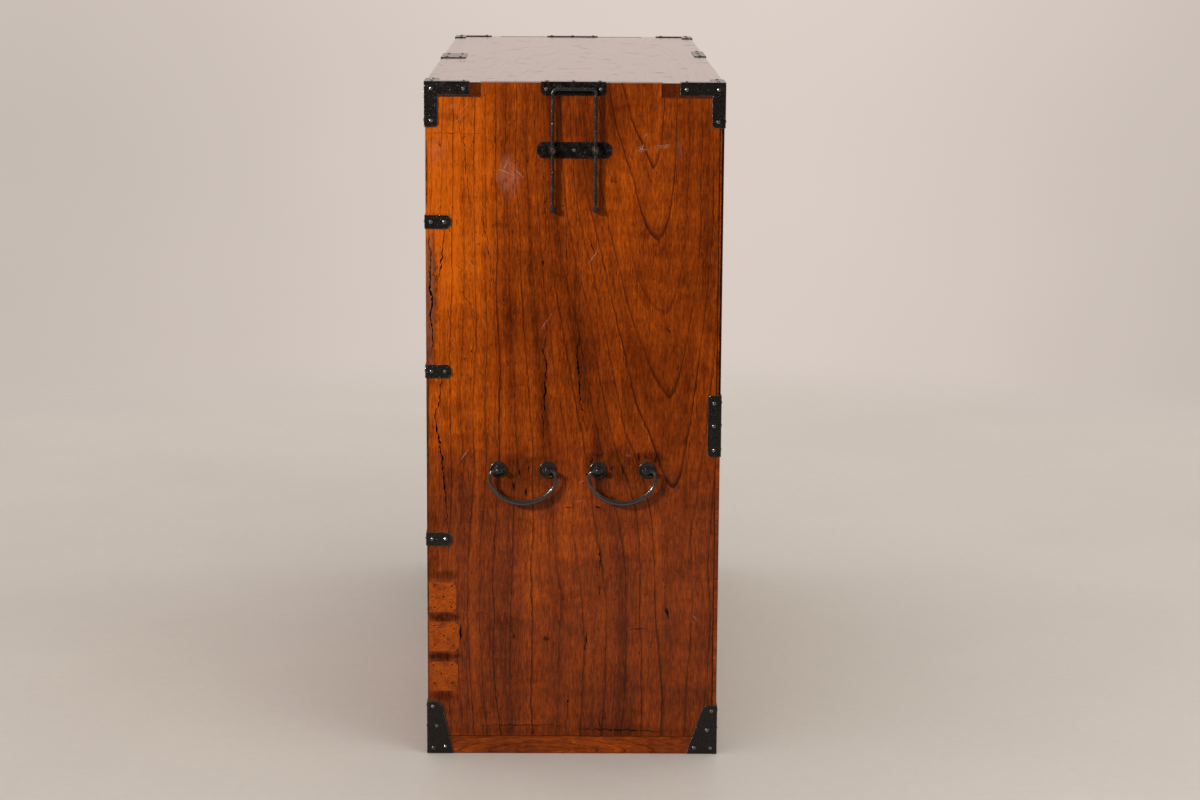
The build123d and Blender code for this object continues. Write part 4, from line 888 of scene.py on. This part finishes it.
def groove(bm, points, width, depth, face_x, cut, chance, wobble):
    """A ragged groove along points (y, z) of a side board's face: a diamond section, drawn along.

    Points, width and depth are in mm. cut is the tools' material.
    """
    path = []
    for (y0, z0), (y1, z1) in zip(points, points[1:]):
        steps = max(3, int(math.hypot(y1 - y0, z1 - z0) / GROOVE_STEP))
        path += [Vector((y0 + (y1 - y0) * i / steps, z0 + (z1 - z0) * i / steps)) for i in range(steps)]
    path.append(Vector(points[-1]))
    last = len(path) - 1
    first = bmesh.ops.create_circle(bm, cap_ends=True, cap_tris=False, segments=4, radius=1.0)["verts"][0]
    face = first.link_faces[0]
    face.material_index = cut
    seed = chance.uniform(0, 50)
    for i, point in enumerate(path):
        ahead = path[min(i + 1, last)] - path[max(i - 1, 0)]
        ahead = ahead.normalized() if ahead.length else Vector((0.0, 1.0))
        side = Vector((ahead.y, -ahead.x))
        taper = min(1.0, 0.22 + 1.6 * min(i, last - i) / max(last, 1))
        rough = max(0.30, 0.80 + 1.3 * noise.noise(Vector((i * 0.9, seed, 0.0))))
        stray = wobble * noise.noise(Vector((i * 0.55, seed, 9.0))) * (0 < i < last)
        half = max(0.15, width / 2 * taper * rough) * MM
        centre = (point + side * stray / MM) * MM
        low = depth * taper * MM
        corners = [(0.0, half), (low, 0.0), (0.0, -half), (-low, 0.0)]
        if i:
            grown = bmesh.ops.extrude_face_region(bm, geom=[face])["geom"]
            face = next(g for g in grown if isinstance(g, bmesh.types.BMFace))
        for vertex, (sink, across) in zip([loop.vert for loop in face.loops], corners):
            vertex.co = Vector((face_x + sink, centre.x + side.x * across, centre.y + side.y * across))


def carve(board, tools):
    """Cuts the tools out of a board. The cut faces keep the tools' materials."""
    cut = board.modifiers.new("marks", "BOOLEAN")
    cut.operation = "DIFFERENCE"
    cut.solver = "EXACT"
    cut.use_self = True
    cut.material_mode = "TRANSFER"
    cut.object = tools
    bpy.context.view_layer.update()
    whole = bpy.context.evaluated_depsgraph_get()
    mesh = bpy.data.meshes.new_from_object(board.evaluated_get(whole))
    mesh.name = board.data.name
    board.modifiers.clear()
    board.data = mesh
    bpy.data.objects.remove(tools)


def tool_object(bm, materials):
    bmesh.ops.recalc_face_normals(bm, faces=bm.faces)
    tools = bpy.data.objects.new("marking_tools", to_mesh(bm, "marking_tools"))
    bpy.context.scene.collection.objects.link(tools)
    for material in materials:
        tools.data.materials.append(material)
    return tools


def cut_materials():
    """Insides of the marks, in the order of CUT_CRACK and CUT_SCRATCH."""
    return [cut_surface("crack_inside", (0.006, 0.003, 0.002), 0.8, 0.0003),
            cut_surface("scratch_inside", (0.17, 0.090, 0.065), 0.55, 0.0002)]


def hinge_ghost(name):
    """Lacquer that an iron leaf once covered: lighter, flatter and scraped."""
    if name in bpy.data.materials:
        return bpy.data.materials[name]
    look = setting("lacquer")
    material, w, shader, place = new_material(name)
    scrapes = w.noise(w.stretched(place, (1, 60, 240)), 4.0, 4.0, 0.6)
    cloud = w.noise(place, 60.0, 4.0)
    base = w.blend(w.ramp(scrapes, 0.3, 0.75), rgba(Vector(look.amber) * 0.95),
                   rgba(Vector(look.bright) * 0.85))
    base = w.blend(w.ramp(cloud, 0.50, 0.72, 0.0, 0.6), base, rgba(look.deep))
    specks = w.ramp(w.noise(place, 420.0, 2.0), 0.64, 0.70)
    base = w.blend(specks, base, rgba(look.line))
    w.feed(shader.inputs["Base Color"], base)
    w.feed(shader.inputs["Roughness"], w.ramp(cloud, 0.2, 0.8, 0.42, 0.60))
    shader.inputs["Specular IOR Level"].default_value = 0.12
    bump = w.add("ShaderNodeBump", {"Height": scrapes, "Strength": 0.4, "Distance": 0.0003})
    w.feed(shader.inputs["Normal"], bump.outputs["Normal"])
    return material


def sunk_leaf(bm, y0, y1, z0, z1):
    """The shallow seat of a hinge leaf in the right side board, with its two inner corners cut off."""
    outline = [(y0, z0), (y1 - GHOST_CLIP, z0), (y1, z0 + GHOST_CLIP), (y1, z1 - GHOST_CLIP),
               (y1 - GHOST_CLIP, z1), (y0, z1)]
    face = bm.faces.new([bm.verts.new((RIGHT_FACE - GHOST_DEPTH, y * MM, z * MM)) for y, z in outline])
    grown = bmesh.ops.extrude_face_region(bm, geom=[face])["geom"]
    lifted = [g for g in grown if isinstance(g, bmesh.types.BMVert)]
    bmesh.ops.translate(bm, verts=lifted, vec=(GHOST_DEPTH + 1 * MM, 0.0, 0.0))


def nail_hole(bm, y, z):
    """A hole that a hinge's nail has left in the right side board. y and z are in mm."""
    made = bmesh.ops.create_cone(bm, cap_ends=True, cap_tris=False, segments=8, radius1=NAIL_HOLE_R,
                                 radius2=NAIL_HOLE_R, depth=2 * NAIL_HOLE_DEPTH)["verts"]
    aim = Matrix.Translation((RIGHT_FACE, y * MM, z * MM)) @ Matrix.Rotation(math.pi / 2, 4, "Y")
    bmesh.ops.transform(bm, matrix=aim, verts=made)


def mark_right_side(board):
    wobble = setting("wear").crack_wobble
    chance = random.Random(11)
    ghosts = bmesh.new()
    for (y0, y1), (z0, z1), _ in HINGE_GHOSTS:
        sunk_leaf(ghosts, y0, y1, z0, z1)
    carve(board, tool_object(ghosts, [hinge_ghost("hinge_ghost")]))
    bm = bmesh.new()
    for width, depth, points in RIGHT_CRACKS:
        groove(bm, points, width * CRACK_SPREAD, depth, RIGHT_FACE, CUT_CRACK, chance, wobble)
    for points in RIGHT_SCRATCHES:
        groove(bm, points, SCRATCH_WIDTH, SCRATCH_DEPTH, RIGHT_FACE, CUT_SCRATCH, chance, SCRATCH_WOBBLE)
    for _, _, holes in HINGE_GHOSTS:
        for y, z in holes:
            nail_hole(bm, y, z)
    carve(board, tool_object(bm, cut_materials()))


def mark_left_side(board):
    wobble = setting("wear").crack_wobble
    chance = random.Random(23)
    bm = bmesh.new()
    for y, z, run in LEFT_CRACKS:
        points = [(y + chance.uniform(-5, 5), z - run * i / 5) for i in range(6)]
        groove(bm, points, chance.uniform(0.9, 1.8), LEFT_CRACK_DEPTH, -RIGHT_FACE, CUT_CRACK, chance, wobble)
    for _ in range(LEFT_SCRATCHES):
        y = chance.uniform(-180, 170)
        z = chance.uniform(120, 900)
        run = chance.uniform(8, 22)
        groove(bm, ((y, z), (y + run * 0.7, z + run)), LEFT_SCRATCH_WIDTH, LEFT_SCRATCH_DEPTH, -RIGHT_FACE,
               CUT_SCRATCH, chance, LEFT_SCRATCH_WOBBLE)
    carve(board, tool_object(bm, cut_materials()))


# ---- Operators: one for each group of pieces ------------------------------------------------------------
class CHEST_OT_side_boards(bpy.types.Operator):
    """Finishes the two side boards with worn edges, cracks, scratches and the ghosts of lost hinges"""
    bl_idname = "chest.side_boards"
    bl_label = "Side Boards"

    def execute(self, context):
        soft = setting("wear").board_edge
        right = lacquer("right_side_lacquer", "Z", pith=(0.114, 0.052, 0.834), lean=0.081, tilt=0.136,
                        ring=0.0152, wander=0.045, seed=0.0, shading=right_marks_and_painted_light)
        left = lacquer("left_side_lacquer", "Z", pith=(-0.06, 0.07, 0.60), lean=-0.05, tilt=0.12,
                       ring=0.0145, wander=0.04, seed=6.0, shading=left_shading)
        mark_right_side(worn_board("right_side_board", right, soft))
        mark_left_side(worn_board("left_side_board", left, soft))
        return {"FINISHED"}


class CHEST_OT_case_boards(bpy.types.Operator):
    """Finishes the top board, the front rails, the bay's upright, the base and the inner boards"""
    bl_idname = "chest.case_boards"
    bl_label = "Case Boards"

    def execute(self, context):
        wear = setting("wear")
        top = lacquer("top_lacquer", "XY", pith=(-0.02, 0.06, 0.0), tilt=0.10, ring=0.014, wander=0.05,
                      seed=2.0, coat=1.0, grain_depth=0.16)
        worn_board("top_board", top, wear.board_edge)
        for number, node in enumerate(("upper_divider", "middle_divider", "lower_divider",
                                       "left_bay_divider")):
            rail = lacquer(node + "_lacquer", "X", pith=(0.4, 0.1, 0.1 * number), seed=11.0 + number,
                           bare_behind=RAIL_BACK)
            worn_board(node, rail, wear.inner_edge)
        upright = lacquer("bay_partition_lacquer", "Z", pith=(0.2, 0.1, 0.3), seed=17.0,
                          bare_behind=RAIL_BACK)
        worn_board("bay_partition", upright, wear.inner_edge)
        side_rail = lacquer("side_rail_lacquer", "Y", pith=(0.004, 0.012, -0.120), tilt=0.16, ring=0.007,
                            wander=0.012, seed=5.0)
        for node in ("right_base_rail", "left_base_rail"):
            worn_board(node, side_rail, wear.board_edge)
        cross_rail = lacquer("cross_rail_lacquer", "X", pith=(0.09, 0.05, 0.1), seed=8.0)
        worn_board("cross_base_rails", cross_rail, wear.board_edge)
        back = lacquer("back_edge_lacquer", "X", pith=(0.3, 0.1, 0.1), seed=9.0, shading=back_strip,
                       bare_behind=BACK_FACE - 0.0020)
        worn_board("back_boards", back, wear.plank_edge, planks=True)
        shelf = lacquer("shelf_front_lacquer", "X", pith=(0.2, 0.1, 0.0), seed=4.0,
                        bare_behind=SMALL_DRAWER_FRONT + 0.004)
        for node in ("bottom_board", "right_bay_shelves"):
            worn_board(node, shelf, wear.inner_edge)
        return {"FINISHED"}


class CHEST_OT_case_iron(bpy.types.Operator):
    """Finishes the corner brackets, corner plates, straps and nails of the case"""
    bl_idname = "chest.case_iron"
    bl_label = "Case Iron"

    def execute(self, context):
        worn_plates("top_corner_brackets", forged_iron("bracket_iron", 1.0))
        worn_plates("bottom_corner_plates", forged_iron("corner_plate_iron", 2.0, rust=0.8))
        worn_plates("front_edge_straps", forged_iron("strap_iron", 3.0))
        worn_plates("mid_edge_straps", forged_iron("strap_iron", 3.0))
        worn_nails("case_nails", forged_iron("nail_iron", 4.0, shine=0.6, even=0.4))
        return {"FINISHED"}


def paint_node(node, material):
    """Gives a CAD node that keeps its shape its finish."""
    slots = NODES[node].data.materials
    slots.clear()
    slots.append(material)


class CHEST_OT_pole_loops(bpy.types.Operator):
    """Finishes the sliding loops for a carrying pole, their plates, keepers and eyes"""
    bl_idname = "chest.pole_loops"
    bl_label = "Pole Loops"

    def execute(self, context):
        rod = forged_iron("loop_iron", 5.0, rust=0.2, shine=0.13, tone=0.6, even=0.4)
        plate = forged_iron("keeper_iron", 6.0, rust=0.30, shine=0.08, tone=0.5, raised=KEEPER_FACE)
        for side in ("right", "left"):
            worn_plates(side + "_loop_plates", plate)
            paint_node(side + "_pole_loop", rod)
        return {"FINISHED"}


def handle_iron():
    """Material of all the swinging handles."""
    return forged_iron("handle_iron", 7.0, rust=0.1, shine=0.14, tone=0.7, even=0.8)


class CHEST_OT_side_handles(bpy.types.Operator):
    """Finishes the swinging handles on both sides and their posts on round plates"""
    bl_idname = "chest.side_handles"
    bl_label = "Side Handles"

    def execute(self, context):
        rod = handle_iron()
        paint_node("side_handle_posts", forged_iron("post_iron", 8.0, shine=0.06, even=0.3))
        for side in ("right", "left"):
            for end in ("front", "back"):
                paint_node(f"{side}_{end}_bail", rod)
        return {"FINISHED"}


class CHEST_OT_drawers(bpy.types.Operator):
    """Finishes every drawer: its front, its box and its iron"""
    bl_idname = "chest.drawers"
    bl_label = "Drawers"

    def execute(self, context):
        soft = setting("wear").inner_edge
        box = bare_wood("drawer_wood", 14.0, tone=1.15)
        iron = forged_iron("drawer_iron", 9.0, rust=0.25, shine=0.15)
        rod = handle_iron()
        fronts = sorted(n for n in NODES if n.endswith("_front"))
        for number, node in enumerate(fronts):
            face = lacquer(node + "_lacquer", "X", pith=(0.30 + 0.12 * number, 0.07, 0.1 * number - 0.2),
                           tilt=0.05, seed=20.0 + 3 * number)
            worn_board(node, face, soft)
        for number in range(3):
            node = f"small_drawer_{number + 1}"
            face = lacquer(node + "_lacquer", "X", pith=(0.1 + 0.1 * number, 0.06, 0.5), seed=40.0 + number,
                           bare_behind=SMALL_FRONT_BACK)
            worn_board(node, face, soft)
        for node in sorted(NODES):
            if node.endswith("_box"):
                worn_board(node, box, soft)
            elif node.endswith(("_fittings", "_posts")) and node != "side_handle_posts":
                paint_node(node, iron)
            elif "drawer" in node and node.endswith("bail"):
                paint_node(node, rod)
        return {"FINISHED"}


# ---- Stage --------------------------------------------------------------------------------------------
FLOOR_R = 3.6
FLOOR_FADES = (1.9, 3.1)        # the floor is whole within the first radius and gone beyond the second
LAMP_TARGET = (0.2, 0.0, 0.55)
KEY_TARGET = (0.60, -0.05, 0.66)
KEY_PLACE = (2.7, -3.2, 2.3)
FILL_PLACE = (3.2, 3.0, 2.0)
BACK_PLACE = (-3.0, -0.6, 2.6)
CAMERA_PLACE = (4.578, -0.0097, 1.2886)
# Columns: the camera's right, its up and its backward direction.
CAMERA_TURN = ((0.01089878, -0.18479405, 0.98271683), (0.9999202, -0.00426431, -0.01189145),
               (0.00638808, 0.98276802, 0.18473282))


def lay_floor(look):
    """A round floor with a soft cloudiness, which fades out into the background."""
    bm = bmesh.new()
    bmesh.ops.create_circle(bm, cap_ends=True, cap_tris=False, segments=96, radius=FLOOR_R)
    floor = bpy.data.objects.new("floor", to_mesh(bm, "floor"))
    bpy.context.scene.collection.objects.link(floor)
    material, w, shader, place = new_material("pale_floor")
    cloud = w.noise(place, 1.1, 6.0, 0.6)
    fine = w.noise(place, 60.0, 4.0, 0.6)
    tone = w.math("MULTIPLY_ADD", fine, 0.25, w.math("MULTIPLY", cloud, 0.75))
    pale = Vector(look.floor)
    base = w.blend(w.ramp(tone, 0.25, 0.75), rgba(pale * 0.94), rgba(pale * 1.06))
    w.feed(shader.inputs["Base Color"], base)
    w.feed(shader.inputs["Roughness"], w.ramp(cloud, 0.3, 0.7, 0.50, 0.66))
    far = w.add("ShaderNodeVectorMath", {0: place}, operation="LENGTH").outputs["Value"]
    w.feed(shader.inputs["Alpha"], w.ramp(far, *FLOOR_FADES, 1.0, 0.0))
    floor.data.materials.append(material)
    return floor


def hang_background(look):
    """The background: cloudy where it is seen, black before the chest in reflections, and grey as a light."""
    world = bpy.data.worlds.new("studio")
    bpy.context.scene.world = world
    world.use_nodes = True
    world.node_tree.nodes.clear()
    w = Wiring(world.node_tree)
    direction = w.add("ShaderNodeTexCoord").outputs["Generated"]
    toward = w.axes(direction)
    ray = w.add("ShaderNodeLightPath").outputs
    behind = w.ramp(toward["X"], -0.05, 0.30, 1.0, 0.0)
    low = w.ramp(toward["Z"], -0.10, 0.10, 0.88, 1.04)
    from_middle = w.math("ABSOLUTE", w.math("SUBTRACT", toward["Y"], 0.03))
    aside = w.ramp(from_middle, 0.03, 0.24, 1.08, 0.90)
    cloud = w.ramp(w.noise(direction, 6.0, 4.0), 0.3, 0.7, 0.98, 1.02)
    shade = w.math("MULTIPLY", w.math("MULTIPLY", low, aside), cloud)
    seen = w.add("ShaderNodeVectorMath", {0: look.background, 1: w.vector(shade, shade, shade)},
                 operation="MULTIPLY").outputs["Vector"]
    mirrored = w.blend(behind, rgba((0.0, 0.0, 0.0)), seen)
    tint = w.blend(ray["Is Glossy Ray"], rgba((0.74, 0.725, 0.70)), mirrored)
    tint = w.blend(w.math("MAXIMUM", ray["Is Camera Ray"], ray["Is Transmission Ray"]), tint, seen)
    glow = w.add("ShaderNodeBackground", {"Color": tint, "Strength": 1.0})
    w.feed(w.add("ShaderNodeOutputWorld").inputs["Surface"], glow.outputs["Background"])


def hang_lamp(lamp, place, target):
    """Hangs a lamp, aimed at target and unseen by the camera."""
    holder = bpy.data.objects.new(lamp.name, lamp)
    bpy.context.scene.collection.objects.link(holder)
    aim = Vector(target) - Vector(place)
    holder.matrix_world = Matrix.Translation(place) @ aim.to_track_quat("-Z", "Y").to_matrix().to_4x4()
    holder.visible_camera = False
    return holder


def key_lamp(power):
    lamp = bpy.data.lights.new("key_lamp", "SPOT")
    lamp.energy = power
    lamp.color = (1.0, 0.97, 0.93)
    lamp.spot_size = math.radians(26)
    lamp.spot_blend = 0.8
    lamp.shadow_soft_size = 0.30
    return hang_lamp(lamp, KEY_PLACE, KEY_TARGET)


def soft_lamp(name, place, power, size, tint=(1.0, 1.0, 1.0), glossy=True):
    lamp = bpy.data.lights.new(name, "AREA")
    lamp.shape = "RECTANGLE"
    lamp.size, lamp.size_y = size
    lamp.energy = power
    lamp.color = tint
    holder = hang_lamp(lamp, place, LAMP_TARGET)
    holder.visible_glossy = glossy
    return holder


def leave_out(holder, *objects):
    """Keeps a lamp's light off these objects."""
    left_out = bpy.data.collections.new(holder.name + "_leaves_out")
    for number, unlit in enumerate(objects):
        left_out.objects.link(unlit)
        left_out.collection_objects[number].light_linking.link_state = "EXCLUDE"
    holder.light_linking.receiver_collection = left_out


def set_camera(lens):
    camera = bpy.data.objects.new("camera", bpy.data.cameras.new("camera"))
    bpy.context.scene.collection.objects.link(camera)
    camera.data.lens = lens
    camera.data.sensor_width = 36.0
    camera.matrix_world = Matrix.Translation(CAMERA_PLACE) @ Matrix(CAMERA_TURN).to_4x4()
    bpy.context.scene.camera = camera


class CHEST_OT_stage(bpy.types.Operator):
    """Makes the pale floor, the background, the lamps and the camera"""
    bl_idname = "chest.stage"
    bl_label = "Stage"

    def execute(self, context):
        look = setting("stage")
        floor = lay_floor(look)
        hang_background(look)
        leave_out(key_lamp(look.key_power), floor, bpy.data.objects["top_board_worn"])
        soft_lamp("fill_lamp", FILL_PLACE, look.fill_power, (2.2, 2.2), (0.96, 0.98, 1.0))
        leave_out(soft_lamp("back_lamp", BACK_PLACE, look.back_power, (2.4, 1.6), glossy=False), floor)
        set_camera(look.lens)
        context.scene.view_settings.view_transform = "Standard"
        return {"FINISHED"}


OPERATORS = (CHEST_OT_side_boards, CHEST_OT_case_boards, CHEST_OT_case_iron, CHEST_OT_pole_loops,
             CHEST_OT_side_handles, CHEST_OT_drawers, CHEST_OT_stage)


class CHEST_PT_panel(bpy.types.Panel):
    """Lists the chest's settings and the operators that finish it"""
    bl_idname = "CHEST_PT_panel"
    bl_label = "Isho Chest"
    bl_space_type = "VIEW_3D"
    bl_region_type = "UI"
    bl_category = "Chest"

    def draw(self, context):
        for name, group in SETTINGS.items():
            box = self.layout.box()
            box.label(text=name.replace("_", " ").title())
            for field in group.__annotations__:
                box.prop(getattr(context.scene, name), field)
        for operator in OPERATORS:
            self.layout.operator(operator.bl_idname)


CLASSES = (*SETTINGS.values(), *OPERATORS, CHEST_PT_panel)


def register():
    for cls in CLASSES:
        bpy.utils.register_class(cls)
    for name, group in SETTINGS.items():
        setattr(bpy.types.Scene, name, PointerProperty(type=group))


def unregister():
    for name in SETTINGS:
        delattr(bpy.types.Scene, name)
    for cls in reversed(CLASSES):
        bpy.utils.unregister_class(cls)


def main():
    register()
    for operator in OPERATORS:
        area, name = operator.bl_idname.split(".")
        getattr(getattr(bpy.ops, area), name)()


if __name__ == "__main__":
    main()
